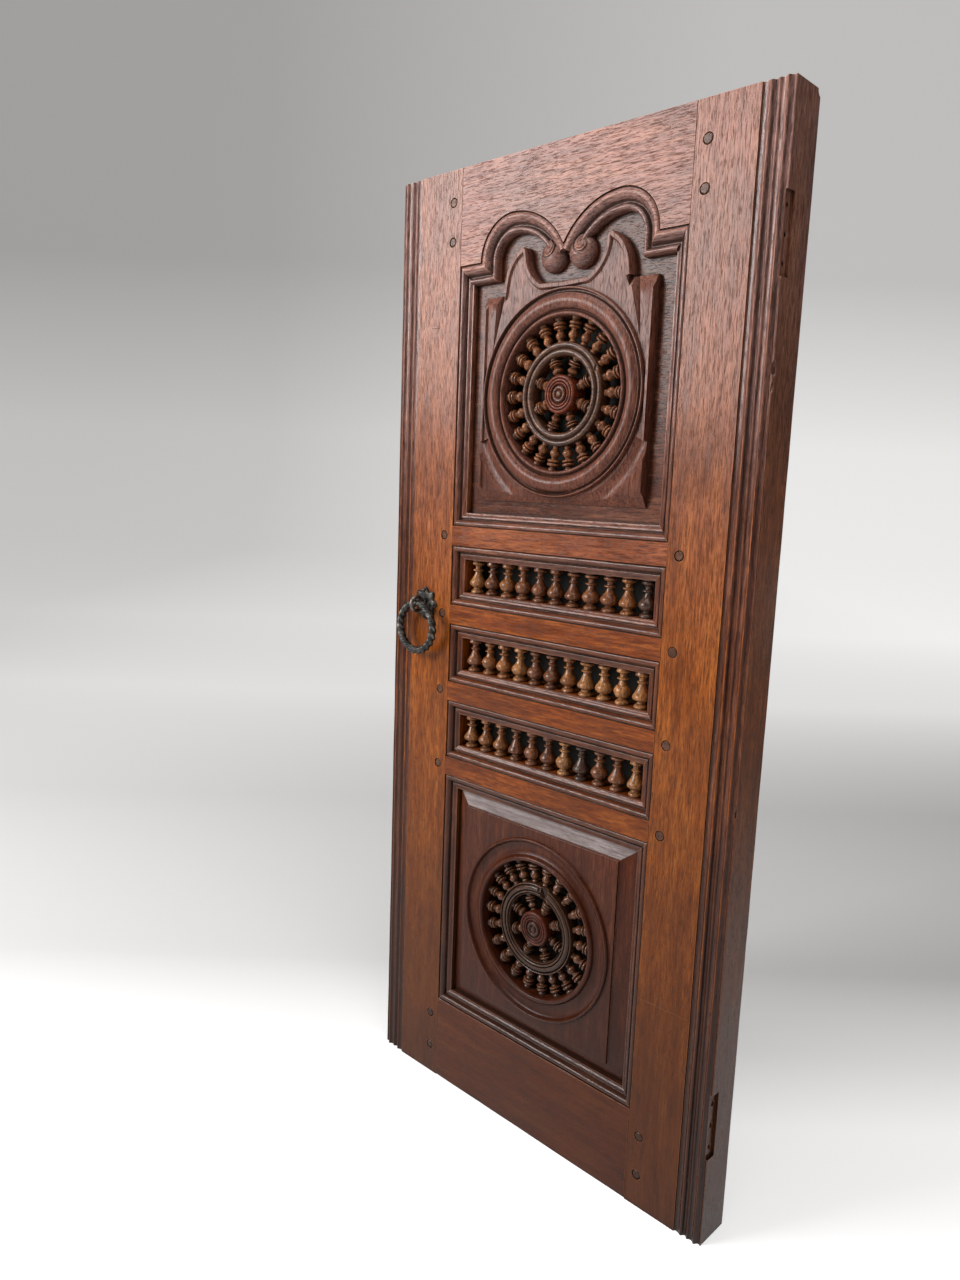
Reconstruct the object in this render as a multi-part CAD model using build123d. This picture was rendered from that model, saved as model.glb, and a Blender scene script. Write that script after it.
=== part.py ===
from build123d import *
import os
from math import cos, pi, radians, sin, sqrt, tan

os.makedirs("parts", exist_ok=True)

# One leaf of a small panelled oak door, in millimetres.
# X runs along the leaf's width, Y into its thickness from the front, and Z up.
# The origin is the middle of the bottom edge. A depth is measured back from the front face.

# Leaf
leaf_width = 512.0
leaf_thickness = 50.0

# Stiles, from the outer edge to the line where the rails' faces begin
meeting_stile_width = 105.0
hinge_stile_width = 97.0

# Reeded moulding down both outer edges
meeting_reed_width = 35.0
hinge_reed_width = 31.5
reed_depth = 4.2

# Rail faces and openings, from the bottom up
bottom_rail_face = 111.0
lower_panel_opening = 311.0
rail_face = 24.0
gallery_opening = 73.5
gallery_count = 3
upper_panel_opening = 303.0
top_rail_face = 108.5

# Moulding worked on the edges round every opening
moulding_width = 16.5
moulding_drop = 7.5
moulding_quirk = 1.6

# Swan-neck arch under the top rail
arch_moulding_width = 22.0
arch_reach = 74.0
haunch_radius = 48.0
crown_radius = 85.0
arch_step = 15.0
crown_flats = 4
scroll_spacing = 39.0
scroll_radius = 16.0
scroll_depth = 1.0
scroll_rim_depth = 6.0
scroll_rise = 5.0
scroll_flats = 5

# Mortise and tenon joints
shoulder_depth = 11.0
tenon_thickness = 16.0
tenon_length = 70.0
tenon_shoulder = 14.0
tenon_upper_shoulder = 7.0
tenon_end_gap = 2.0
peg_across = 10.5
peg_proud = 0.8
peg_setback = 14.0
top_peg_drops = (36.0, 80.0)
bottom_peg_rises = (38.0, 85.0)

# Panels
panel_front_depth = 14.5
panel_edge_thickness = 11.0
panel_groove = 10.0
panel_play = 0.15
panel_end_gap = 0.6
field_depth = 4.0
field_margin = 21.5
field_foot_margin = 16.5
bevel_rise_depth = 6.5
field_step = 1.5
arch_slot_height = 60.0
shoulder_drop = 39.0
shoulder_width = 29.0
horn_rise = 48.0
horn_tip_reach = 59.0
horn_curve_radius = 40.0
horn_shift = 5.0
neck_hollow = 6.0

# Board let into the back, behind the panels and the galleries
back_board_thickness = 12.0
back_board_lap = 14.0
back_board_play = 0.2

# Carved ring and wheel in each panel
wheel_opening_radius = 82.8
carved_ring_width = 29.5
ring_crest = 4.0
ring_bead = 1.0
ring_groove = 0.8
upper_wheel_rise = 2.25
lower_wheel_drop = 1.0
wheel_ring_outer_radius = 56.0
wheel_ring_inner_radius = 41.0
wheel_ring_depth = 6.0
wheel_ring_thickness = 18.0
wheel_ring_chamfer = 3.5
hub_radius = 21.0
hub_boss_radius = 11.0
hub_step = 1.8
hub_depth = 3.0
hub_thickness = 22.0
spindle_depth = 14.5
spindle_radius = 6.2
outer_spindle_count = 22
inner_spindle_count = 8
wheel_flats = outer_spindle_count
spindle_clearance = 0.1
notch_angle = 76.0
notch_width = 11.0
notch_depth = 6.5

# Galleries of turned balusters
baluster_spacing = 25.0
baluster_end_space = 3.4
baluster_radius = 10.6
baluster_depth = 17.0
baluster_end_share = 0.8
baluster_housing = 2.0
baluster_play = 0.1

# Hinge mortises cut in the hinge stile's outer edge
hinge_length = 74.0
hinge_leaf_width = 16.5
hinge_recess = 3.0
hinge_screw_radius = 2.0
hinge_screw_depth = 15.0
hinge_screw_spacing = 25.0
upper_hinge_drop = 130.0
lower_hinge_height = 137.5

# Ring pull on the meeting stile
pull_inset = 60.5
pull_height = 638.0
pull_standoff = 15.5
pull_ring_radius = 30.0
pull_bar_across = 10.4
pull_facets = 6
pull_segments = 16
staple_bar = 5.0
staple_clearance = 0.4
staple_facets = 8
staple_spike_length = 30.0
rosette_radius = 21.0
rosette_inner_radius = 15.5
rosette_thickness = 4.0
rosette_lobes = 8

# Each middle rail's face, from its lower to its upper line
rail_names = ["lower_panel_rail", "lower_gallery_rail", "upper_gallery_rail", "upper_panel_rail"]
first_rail = bottom_rail_face + lower_panel_opening
rail_pitch = rail_face + gallery_opening
rail_lines = [first_rail + k * rail_pitch for k in range(gallery_count + 1)]
upper_opening_foot = rail_lines[-1] + rail_face
impost_top = upper_opening_foot + upper_panel_opening
impost_foot = impost_top - arch_moulding_width
leaf_height = impost_top + top_rail_face

# Places that follow from the sizes above
front = -leaf_thickness / 2
left = -leaf_width / 2
right = leaf_width / 2
joint_left = left + meeting_stile_width
joint_right = right - hinge_stile_width
inner_left = joint_left + moulding_width
inner_right = joint_right - moulding_width
centre_x = (joint_left + joint_right) / 2
scroll_centre_z = impost_top - scroll_rise
upper_wheel_room = (upper_opening_foot + moulding_width, scroll_centre_z - scroll_radius)
upper_wheel_height = sum(upper_wheel_room) / 2 + upper_wheel_rise
lower_wheel_height = bottom_rail_face + lower_panel_opening / 2 - lower_wheel_drop
upper_hinge_height = leaf_height - upper_hinge_drop
pull_x = left + pull_inset
board_depth = leaf_thickness - back_board_thickness
cut_margin = 2.0


def block(x_range, depth_range, z_range):
    """A box between two places on each axis, with Y given as depths."""
    x0, x1 = x_range
    d0, d1 = depth_range
    z0, z1 = z_range
    return Pos(x0, front + d0, z0) * Box(x1 - x0, d1 - d0, z1 - z0, align=(Align.MIN,) * 3)


def face_plane(depth):
    """The plane at a depth, drawn as seen from the front."""
    return Plane(origin=(0, front + depth, 0), x_dir=(1, 0, 0), z_dir=(0, -1, 0))


def prism(outline, depth_range):
    """A front outline given thickness between two depths."""
    return extrude(face_plane(depth_range[1]) * outline, depth_range[1] - depth_range[0])


def polygon(*points):
    return make_face(Polyline(*points, close=True))


# Mouldings
def moulding_section(width, drop):
    """What the moulding takes away: x runs from the face's line into the opening, y is depth."""
    return polygon((0, moulding_quirk), (0.26 * width, 0.26 * drop), (0.62 * width, 0.86 * drop),
                   (0.84 * width, drop), (width + cut_margin, drop), (width + cut_margin, -cut_margin),
                   (0, -cut_margin))


def reed_section(width):
    """What the reeds take away: x runs from the stile's face out to its edge, y is depth."""
    outline = [(0, 0.45), (0.2, 0.6), (0.27, 0.15), (0.34, 0.8), (0.44, 1), (0.51, 0.4), (0.58, 0.8),
               (0.72, 0.55), (0.76, 0.15), (0.81, 0.15), (0.88, 1), (1, 0.9)]
    surface = [(x * width, y * reed_depth) for x, y in outline]
    far = width + cut_margin
    return polygon(*surface, (far, outline[-1][1] * reed_depth), (far, -cut_margin), (0, -cut_margin))


def run(section, start, inward, length):
    """A moulding cut along a straight line: inward is the way from the face into the opening."""
    depth_axis = Vector(0, 1, 0)
    normal = Vector(*inward).cross(depth_axis)
    return extrude(Plane(origin=start, x_dir=inward, z_dir=normal) * section, length)


def over_rail(z_face):
    """Cut along the upper edge of a rail whose face ends at z_face."""
    length = inner_right - inner_left + 2 * moulding_width
    return run(moulding_section(moulding_width, moulding_drop),
               (joint_right, front, z_face), (0, 0, 1), length)


def under_rail(z_face):
    """Cut along the lower edge of a rail whose face starts at z_face."""
    length = inner_right - inner_left + 2 * moulding_width
    return run(moulding_section(moulding_width, moulding_drop),
               (joint_left, front, z_face), (0, 0, -1), length)


# The arch for the left half: a haunch that rises from the impost and a crown that falls to the scroll
haunch_centre = (centre_x - arch_reach, impost_top)
crown_centre = (haunch_centre[0], impost_top + haunch_radius - crown_radius)


def round_points(centre, radius, first_angle, flats):
    """The corners of flats laid round an arc, each flat touching it at its middle."""
    reach = radius / cos(radians(arch_step / 2))
    turns = [radians(first_angle - (k + 0.5) * arch_step) for k in range(flats)]
    return [(centre[0] + reach * cos(turn), centre[1] + reach * sin(turn)) for turn in turns]


def arch_line(offset, flats):
    """Corners along half the arch from the impost's end: offset is measured into the opening."""
    corner = (haunch_centre[0] - haunch_radius + offset, impost_top - offset)
    haunch = round_points(haunch_centre, haunch_radius - offset, 180, round(90 / arch_step))
    return [corner] + haunch + round_points(crown_centre, crown_radius - offset, 90, flats)


def arch_cutter():
    """The moulding cut along the left half of the arch."""
    points = [(joint_left, impost_top)] + arch_line(0, crown_flats + 1)
    path = Polyline(*[(x, front, z) for x, z in points])
    start = Plane(origin=path @ 0, x_dir=(0, 0, -1), z_dir=(1, 0, 0))
    section = moulding_section(arch_moulding_width, moulding_drop)
    cutter = sweep(start * section, path=path, transition=Transition.RIGHT)
    return cutter & block((left, centre_x), (-cut_margin, shoulder_depth), (0, leaf_height))


def mirror_half(solid):
    """A left half copied across the middle of the openings."""
    return mirror(solid, about=Plane(origin=(centre_x, 0, 0), z_dir=(1, 0, 0)))


# Pegs and tenons: a peg goes through the front of the stile and the tenon
tenon_depths = ((leaf_thickness - tenon_thickness) / 2, (leaf_thickness + tenon_thickness) / 2)


def peg_hole_outline(x, z):
    return Pos(x, z) * RegularPolygon(peg_across / 2, 6)


def peg_places():
    """Every peg's x and z: two in the top and bottom rails' tenons and one in each other tenon."""
    heights = [leaf_height - drop for drop in top_peg_drops]
    heights += list(bottom_peg_rises)
    heights += [line + rail_face / 2 for line in rail_lines]
    return [(x, z) for z in heights for x in (joint_left - peg_setback, joint_right + peg_setback)]


def peg_holes():
    holes = [prism(peg_hole_outline(x, z), (-cut_margin, tenon_depths[1])) for x, z in peg_places()]
    return Part() + holes


def tenons(z_range, end_gap=0.0):
    """The tenons at both ends of a rail, or their mortises when an end gap is given."""
    reach = tenon_length + end_gap
    return (block((inner_left - reach, inner_left), tenon_depths, z_range)
            + block((inner_right, inner_right + reach), tenon_depths, z_range))


tenon_ranges = {"top_rail": (impost_top + tenon_shoulder, leaf_height - tenon_shoulder),
                "bottom_rail": (tenon_shoulder, bottom_rail_face - tenon_upper_shoulder)}
for name, line in zip(rail_names, rail_lines):
    tenon_ranges[name] = (line, line + rail_face)


# Back board
def board_place(lap):
    """The board's width and height ranges, lapped over the frame round every opening."""
    return ((inner_left - lap, inner_right + lap),
            (bottom_rail_face + moulding_width - lap, impost_top + haunch_radius + lap))


def back_board():
    x_range, z_range = board_place(back_board_lap)
    return block(x_range, (board_depth, leaf_thickness), z_range)


def back_rebate():
    x_range, z_range = board_place(back_board_lap + back_board_play)
    return block(x_range, (board_depth - back_board_play, leaf_thickness + cut_margin), z_range)


# Rails
def rail_outline(z_face, z_top):
    """The front of a middle rail: its face reaches the joint lines and its mouldings are mitred."""
    return polygon((joint_left, z_face), (inner_left, z_face - moulding_width),
                   (inner_right, z_face - moulding_width), (joint_right, z_face),
                   (joint_right, z_top), (inner_right, z_top + moulding_width),
                   (inner_left, z_top + moulding_width), (joint_left, z_top))


def bottom_rail_outline():
    return polygon((joint_left, 0), (joint_right, 0), (joint_right, bottom_rail_face),
                   (inner_right, bottom_rail_face + moulding_width),
                   (inner_left, bottom_rail_face + moulding_width), (joint_left, bottom_rail_face))


def top_rail_outline():
    """The front of the top rail, down to the arch's lower edge."""
    end_angle = radians(90 - crown_flats * arch_step)
    end_radius = crown_radius - arch_moulding_width
    end = (crown_centre[0] + end_radius * cos(end_angle), crown_centre[1] + end_radius * sin(end_angle))
    half = polygon((centre_x, leaf_height), (joint_left, leaf_height), (joint_left, impost_top),
                   (inner_left, impost_foot), *arch_line(arch_moulding_width, crown_flats), end,
                   (centre_x, end[1]))
    other = mirror(half, about=Plane(origin=(centre_x, 0, 0), z_dir=(1, 0, 0)))
    return half + other


front_outlines = {"top_rail": top_rail_outline(), "bottom_rail": bottom_rail_outline()}
for name, line in zip(rail_names, rail_lines):
    front_outlines[name] = rail_outline(line, line + rail_face)


def rail_body(name):
    """A rail before its mouldings: a wider front layer, its thickness, a rebate and two tenons."""
    outline = front_outlines[name]
    body = prism(outline, (0, shoulder_depth))
    behind = prism(outline, (shoulder_depth, leaf_thickness))
    behind &= block((inner_left, inner_right), (0, leaf_thickness), (0, leaf_height))
    return body + behind + tenons(tenon_ranges[name]) - back_rebate()


panel_groove_depths = (panel_front_depth - panel_play,
                       panel_front_depth + panel_edge_thickness + panel_play)
baluster_end_radius = baluster_end_share * baluster_radius
baluster_grooves = (baluster_depth - baluster_end_radius - baluster_play,
                    baluster_depth + baluster_end_radius + baluster_play)


def groove(z_edge, direction, depths, depth_of_cut):
    """A groove along a rail's edge at z_edge, cut upwards or downwards."""
    z_range = sorted((z_edge, z_edge + direction * depth_of_cut))
    return block((inner_left, inner_right), depths, z_range)


def baluster_groove(z_edge, direction):
    return groove(z_edge, direction, baluster_grooves, baluster_housing)


def middle_rail(k):
    """One of the four rails between the panels and the galleries."""
    z_face = rail_lines[k]
    z_top = z_face + rail_face
    rail = rail_body(rail_names[k]) - under_rail(z_face) - over_rail(z_top)
    lower_edge = z_face - moulding_width
    upper_edge = z_top + moulding_width
    if k == 0:
        rail -= groove(lower_edge, 1, panel_groove_depths, panel_groove)
    else:
        rail -= baluster_groove(lower_edge, 1)
    if k == gallery_count:
        rail -= groove(upper_edge, -1, panel_groove_depths, panel_groove)
    else:
        rail -= baluster_groove(upper_edge, -1)
    return rail - peg_holes()


def bottom_rail():
    rail = rail_body("bottom_rail") - over_rail(bottom_rail_face)
    rail -= groove(bottom_rail_face + moulding_width, -1, panel_groove_depths, panel_groove)
    return rail - peg_holes()


def scroll():
    """The left scroll: a low dome at the end of the arch's moulding."""
    foot = shoulder_depth + cut_margin
    shoulder = scroll_depth + 0.25 * (scroll_rim_depth - scroll_depth)
    profile = [(-foot, scroll_radius), (-scroll_rim_depth, scroll_radius),
               (-shoulder, 0.7 * scroll_radius), (-scroll_depth, 0.35 * scroll_radius)]
    place = Pos(centre_x - scroll_spacing / 2, front, scroll_centre_z)
    return place * Rot(90, 0, 0) * turned(profile, scroll_flats)


def top_rail():
    rail = rail_body("top_rail")
    cutter = arch_cutter()
    rail = rail - cutter - mirror_half(cutter)
    rail = rail + scroll() + mirror_half(scroll())
    slot = (impost_foot - cut_margin, impost_foot + arch_slot_height + panel_end_gap)
    bottom_slots = block((inner_left, inner_right), panel_groove_depths, slot)
    return rail - bottom_slots - peg_holes()


# Stiles
def opening_lines():
    """Each opening's lower and upper face line, from the bottom."""
    lower_lines = [bottom_rail_face] + [line + rail_face for line in rail_lines]
    upper_lines = rail_lines + [impost_top]
    return list(zip(lower_lines, upper_lines))


def stile(side):
    """A stile: side is -1 for the meeting stile and 1 for the hinge stile."""
    outer, inner, joint = (left, inner_left, joint_left) if side < 0 else (right, inner_right, joint_right)
    body = block(sorted((outer, inner)), (0, leaf_thickness), (0, leaf_height))
    for name, outline in front_outlines.items():
        body -= prism(outline, (0, shoulder_depth))
        body -= tenons(tenon_ranges[name], tenon_end_gap)
    body -= peg_holes()
    inward = (-side, 0, 0)
    for z_low, z_high in opening_lines():
        start = (joint, front, z_low if side < 0 else z_high)
        body -= run(moulding_section(moulding_width, moulding_drop), start, inward, z_high - z_low)
    for z_low, z_high in (opening_lines()[0], opening_lines()[-1]):
        z_range = (z_low + moulding_width - panel_groove, z_high - moulding_width + panel_groove)
        if z_high == impost_top:
            z_range = (z_range[0], tenon_ranges["top_rail"][0])
        body -= block(sorted((inner, inner - inward[0] * panel_groove)), panel_groove_depths, z_range)
    body -= back_rebate()
    reed_width = meeting_reed_width if side < 0 else hinge_reed_width
    reed_start = (outer - side * reed_width, front, leaf_height if side < 0 else 0)
    return body - run(reed_section(reed_width), reed_start, (side, 0, 0), leaf_height)


def hinge_mortise(height):
    """A shallow recess open to the front, with three screw holes."""
    z_range = (height - hinge_length / 2, height + hinge_length / 2)
    recess = block((right - hinge_recess, right + cut_margin), (-cut_margin, hinge_leaf_width), z_range)
    floor = right - hinge_recess
    for k in (-1, 0, 1):
        place = (floor - hinge_screw_depth, front + hinge_screw_y, height + k * hinge_screw_spacing)
        hole = extrude(Plane(origin=place, z_dir=(1, 0, 0)) * Circle(hinge_screw_radius),
                       hinge_screw_depth + cut_margin)
        recess += hole
    return recess


hinge_screw_y = (reed_depth + hinge_leaf_width) / 2


def spike_hole(play=0.0):
    half = staple_bar / 2 + play
    return block((pull_x - half, pull_x + half), (-2 * rosette_thickness, staple_spike_length + play),
                 (pull_height - half, pull_height + half))


# Panels
def panel_plate(z_foot, z_head, z_side):
    """A panel's plain plate: held in the stiles' grooves up to z_side and narrower above it."""
    reach = panel_groove - panel_end_gap
    depths = (panel_front_depth, panel_front_depth + panel_edge_thickness)
    plate = block((inner_left - reach, inner_right + reach), depths, (z_foot - reach, z_side))
    if z_side < z_head:
        plate += block((inner_left + panel_play, inner_right - panel_play), depths, (z_side, z_head))
    return plate


def faceted_ring(profile, sides, height):
    """A ring about the door's thickness with flats for its round: profile holds radii and depths."""
    widest = max(radius for radius, _ in profile)
    half_angle = pi / sides
    section = Plane(origin=(0, front, 0), x_dir=(1, 0, 0), z_dir=(0, 0, 1)) * polygon(*profile)
    bar = extrude(section, widest * tan(half_angle) + cut_margin, both=True)
    far = 2 * widest
    wedge = polygon((0, 0), (far, -far * tan(half_angle)), (far, far * tan(half_angle)))
    bar &= prism(wedge, (-leaf_thickness, leaf_thickness))
    copies = [Rot(0, 360 * k / sides, 0) * bar for k in range(sides)]
    return Pos(centre_x, 0, height) * (Part() + copies)


def carved_ring(height):
    """A carved ring round the wheel's opening: two beads with a broad round between them."""
    r = wheel_opening_radius
    w = carved_ring_width
    d = field_depth
    groove_depth = d + ring_groove
    crest = d - ring_crest
    bead = d - ring_bead
    profile = [(r, panel_front_depth), (r, bead), (r + 0.17 * w, groove_depth),
               (r + 0.38 * w, crest), (r + 0.62 * w, crest), (r + 0.86 * w, groove_depth),
               (r + w, bead), (r + w, panel_front_depth)]
    return faceted_ring(profile, wheel_flats, height)


def wheel_opening(height):
    outline = RegularPolygon(wheel_opening_radius, wheel_flats, major_radius=False, rotation=90)
    return prism(Pos(centre_x, height) * outline, (-shoulder_depth, leaf_thickness))


def lower_panel():
    """A raised panel with a wide bevel and a carved ring."""
    z_foot = bottom_rail_face + moulding_width
    z_head = first_rail - moulding_width
    head = z_head + panel_groove - panel_end_gap
    plate = panel_plate(z_foot, head, head)
    field_size = (inner_right - inner_left - 2 * field_margin, z_head - z_foot - 2 * field_foot_margin)
    middle = (z_foot + z_head) / 2
    foot = Plane(origin=(centre_x, front + panel_front_depth, middle), x_dir=(1, 0, 0), z_dir=(0, -1, 0))
    shoulder = foot.offset(panel_front_depth - bevel_rise_depth)
    bevel = loft([foot * Rectangle(inner_right - inner_left - 2 * panel_play,
                                   z_head - z_foot - 2 * panel_play),
                  shoulder * Rectangle(*field_size)])
    step = 2 * field_step
    field = extrude(shoulder * Rectangle(field_size[0] - step, field_size[1] - step),
                    bevel_rise_depth - field_depth)
    panel = plate + bevel + field - wheel_opening(lower_wheel_height)
    return panel + carved_ring(lower_wheel_height)


def upper_field_outline():
    """The upper panel's raised field: square shoulders and two horns round the scrolls."""
    z_foot = upper_opening_foot + moulding_width + field_foot_margin
    z_shoulder = impost_top - shoulder_drop
    x_edge = inner_left + field_margin
    x_neck = x_edge + shoulder_width
    tip = (centre_x - horn_tip_reach, z_shoulder + horn_rise)
    hollow_x = centre_x - scroll_spacing / 2 + horn_shift
    hollow_z = z_shoulder + horn_rise - horn_shift
    r = horn_curve_radius
    cusp_x = centre_x - hollow_x
    cusp = (centre_x, hollow_z - sqrt(r ** 2 - cusp_x ** 2))
    half = make_face([
        Polyline((centre_x, z_foot), (x_edge, z_foot), (x_edge, z_shoulder), (x_neck, z_shoulder)),
        ThreePointArc((x_neck, z_shoulder), (x_neck + neck_hollow, z_shoulder + 0.62 * horn_rise), tip),
        Line(tip, (hollow_x - r, hollow_z)),
        ThreePointArc((hollow_x - r, hollow_z), (hollow_x - r * cos(pi / 4), hollow_z - r * sin(pi / 4)),
                      cusp),
        Line(cusp, (centre_x, z_foot)),
    ])
    other = mirror(half, about=Plane(origin=(centre_x, 0, 0), z_dir=(1, 0, 0)))
    return half + other


def upper_panel():
    """A panel with a raised field cut to the arch, and a carved ring."""
    z_foot = upper_opening_foot + moulding_width
    plate = panel_plate(z_foot, impost_foot + arch_slot_height, tenon_ranges["top_rail"][0] - panel_end_gap)
    field = prism(upper_field_outline(), (field_depth, panel_front_depth))
    panel = plate + field - wheel_opening(upper_wheel_height)
    return panel + carved_ring(upper_wheel_height)


# Wheels
def turned(profile, pairs_of_flats):
    """A turned piece along Z with flats for its round: profile holds heights and radii."""
    right_side = [(radius, height) for height, radius in profile]
    left_side = [(-radius, height) for height, radius in reversed(profile)]
    slab = extrude(Plane.XZ * polygon(*right_side, *left_side), 2 * max(r for _, r in profile), both=True)
    solid = slab
    for k in range(1, pairs_of_flats):
        solid &= Rot(0, 0, 180 * k / pairs_of_flats) * slab
    return solid


def wheel_ring(height):
    """A ring with two flats for each spindle round it."""
    r_out = wheel_ring_outer_radius
    r_in = wheel_ring_inner_radius
    face = wheel_ring_depth
    slope = wheel_ring_chamfer
    back = face + wheel_ring_thickness
    profile = [(r_in, back), (r_in, face + slope), (r_in + slope, face), (r_out - slope, face),
               (r_out, face + slope), (r_out, back)]
    return faceted_ring(profile, wheel_flats, height)


def broken_wheel_ring(height):
    """The lower wheel's ring, with the piece that has split off its front."""
    middle = (wheel_ring_outer_radius + wheel_ring_inner_radius) / 2
    notch = Box(notch_width, 2 * notch_depth, wheel_ring_outer_radius - wheel_ring_inner_radius + cut_margin)
    notch = Pos(0, 0, middle) * notch
    notch = Pos(centre_x, front + wheel_ring_depth, height) * Rot(0, 90 - notch_angle, 0) * notch
    return wheel_ring(height) - notch


def hub(height):
    """A turned hub with a raised middle."""
    sides = 2 * inner_spindle_count
    place = Pos(centre_x, height)
    body = RegularPolygon(hub_radius, sides, major_radius=False, rotation=180 / sides)
    boss = RegularPolygon(hub_boss_radius, sides, major_radius=False, rotation=180 / sides)
    shoulder = hub_depth + hub_step
    return (prism(place * body, (shoulder, hub_depth + hub_thickness))
            + prism(place * boss, (hub_depth, shoulder + hub_step)))


def spindle(length):
    """A small turned spindle: a disc, a neck, a bulb, a neck and a disc."""
    r = spindle_radius
    profile = [(0, 0.75 * r), (0.35 * length, 0.42 * r), (0.66 * length, r), (length, 0.65 * r)]
    return turned(profile, 3)


def spindle_circle(height, count, inner_radius, outer_radius):
    """Spindles set like spokes between two round walls."""
    half_width = spindle_radius / cos(pi / 6)
    start = inner_radius + spindle_clearance
    end = sqrt(outer_radius ** 2 - half_width ** 2) - spindle_clearance
    one = Pos(0, 0, start) * spindle(end - start)
    centre = Pos(centre_x, front + spindle_depth, height)
    turns = [360 * (k + 0.5) / count for k in range(count)]
    return [centre * Rot(0, turn, 0) * one for turn in turns]


# Galleries
def baluster():
    """A turned vase baluster whose ends are housed in the rails' grooves, flats to the front."""
    length = gallery_opening - 2 * moulding_width
    r = baluster_radius
    end = baluster_end_radius
    profile = [(-baluster_housing, end), (0.2 * length, 0.5 * r), (0.43 * length, r),
               (0.76 * length, 0.36 * r), (length + baluster_housing, end)]
    return Rot(0, 0, 90) * turned(profile, 3)


def baluster_places():
    """Each gallery's balusters, from the lowest gallery and from the left."""
    count = int((inner_right - inner_left) // baluster_spacing)
    first_x = inner_left + baluster_end_space + baluster_radius
    pitch = (inner_right - inner_left - 2 * (baluster_end_space + baluster_radius)) / (count - 1)
    for g in range(gallery_count):
        z = rail_lines[g] + rail_face + moulding_width
        for k in range(count):
            yield g, k, Pos(first_x + k * pitch, front + baluster_depth, z)


# Ring pull
pivot_y = front - pull_standoff


def pull_ring():
    """An iron ring of faceted bar that hangs through the staple's eye."""
    section = RegularPolygon(pull_bar_across / 2, pull_facets, major_radius=False)
    reach = pull_ring_radius / cos(pi / pull_segments)
    turns = [2 * pi * (k + 0.5) / pull_segments for k in range(pull_segments)]
    corners = [(reach * sin(turn), reach * cos(turn)) for turn in turns]
    path = Plane.XZ * Polyline(*corners, close=True)
    start = Plane(origin=path @ 0, z_dir=path % 0)
    ring = sweep(start * section, path=path, transition=Transition.RIGHT)
    return Pos(pull_x, pivot_y, pull_height - pull_ring_radius) * ring


def staple():
    """An eye for the ring, with a square spike driven into the stile."""
    eye_inner = pull_bar_across / 2 / cos(pi / pull_facets) + staple_clearance
    eye_outer = eye_inner + staple_bar
    outline = RegularPolygon(eye_outer, staple_facets, major_radius=False)
    eye = extrude(Plane.YZ * (outline - Circle(eye_inner)), staple_bar / 2, both=True)
    eye = Pos(pull_x, pivot_y, pull_height) * eye
    half = staple_bar / 2
    spike = block((pull_x - half, pull_x + half), (-pull_standoff + eye_inner + 1.0, staple_spike_length),
                  (pull_height - half, pull_height + half))
    return eye + spike


def rosette():
    """A lobed iron plate behind the staple."""
    count = 2 * rosette_lobes
    points = []
    for k in range(count):
        radius = rosette_radius if k % 2 == 0 else rosette_inner_radius
        angle = 2 * pi * k / count
        points.append((radius * sin(angle), radius * cos(angle)))
    outline = Pos(pull_x, pull_height) * polygon(*points)
    return prism(outline, (-rosette_thickness, 0)) - spike_hole()


def write(name, shape):
    shape = Compound(children=list(shape.solids())) if len(shape.solids()) > 1 else shape.solids()[0]
    export_step(shape, f"parts/{name}.step")


def main():
    write("meeting_stile", stile(-1) - spike_hole())
    write("hinge_stile", stile(1) - hinge_mortise(upper_hinge_height) - hinge_mortise(lower_hinge_height))
    write("top_rail", top_rail())
    write("bottom_rail", bottom_rail())
    for k, name in enumerate(rail_names):
        write(name, middle_rail(k) - spike_hole())
    write("frame_pegs", Part() + [prism(peg_hole_outline(x, z), (-peg_proud, tenon_depths[1]))
                                  for x, z in peg_places()])
    write("back_board", back_board())
    write("upper_panel", upper_panel())
    write("lower_panel", lower_panel())
    for name, height, ring in (("upper", upper_wheel_height, wheel_ring),
                               ("lower", lower_wheel_height, broken_wheel_ring)):
        write(f"{name}_wheel_ring", ring(height))
        write(f"{name}_wheel_hub", hub(height))
        outer = spindle_circle(height, outer_spindle_count, wheel_ring_outer_radius, wheel_opening_radius)
        inner = spindle_circle(height, inner_spindle_count, hub_radius, wheel_ring_inner_radius)
        write(f"{name}_wheel_outer_spindles", Part() + outer)
        write(f"{name}_wheel_inner_spindles", Part() + inner)
    one = baluster()
    for g, k, place in baluster_places():
        write(f"gallery_{g + 1}_baluster_{k + 1:02d}", place * one)
    write("pull_rosette", rosette())
    write("pull_staple", staple())
    write("pull_ring", pull_ring())


main()
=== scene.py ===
import random
from math import atan2, cos, hypot, pi, radians, sin, sqrt

import bmesh
import bpy
from bmesh.types import BMEdge, BMFace, BMVert
from mathutils import Matrix, Vector, noise


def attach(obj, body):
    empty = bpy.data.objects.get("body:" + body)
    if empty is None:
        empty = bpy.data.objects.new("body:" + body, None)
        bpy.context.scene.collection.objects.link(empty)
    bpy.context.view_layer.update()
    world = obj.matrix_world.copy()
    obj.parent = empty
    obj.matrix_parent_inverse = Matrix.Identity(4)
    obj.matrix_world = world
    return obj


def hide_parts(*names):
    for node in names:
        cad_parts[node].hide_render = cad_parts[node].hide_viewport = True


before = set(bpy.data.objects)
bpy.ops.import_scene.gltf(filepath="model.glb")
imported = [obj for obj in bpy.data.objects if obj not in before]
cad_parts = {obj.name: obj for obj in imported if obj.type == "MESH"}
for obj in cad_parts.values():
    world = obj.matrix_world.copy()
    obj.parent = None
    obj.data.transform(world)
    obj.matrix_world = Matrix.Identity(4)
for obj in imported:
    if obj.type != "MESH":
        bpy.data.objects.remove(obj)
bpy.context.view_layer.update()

scene = bpy.context.scene
mm = 0.001
noise.seed_set(3)

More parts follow.
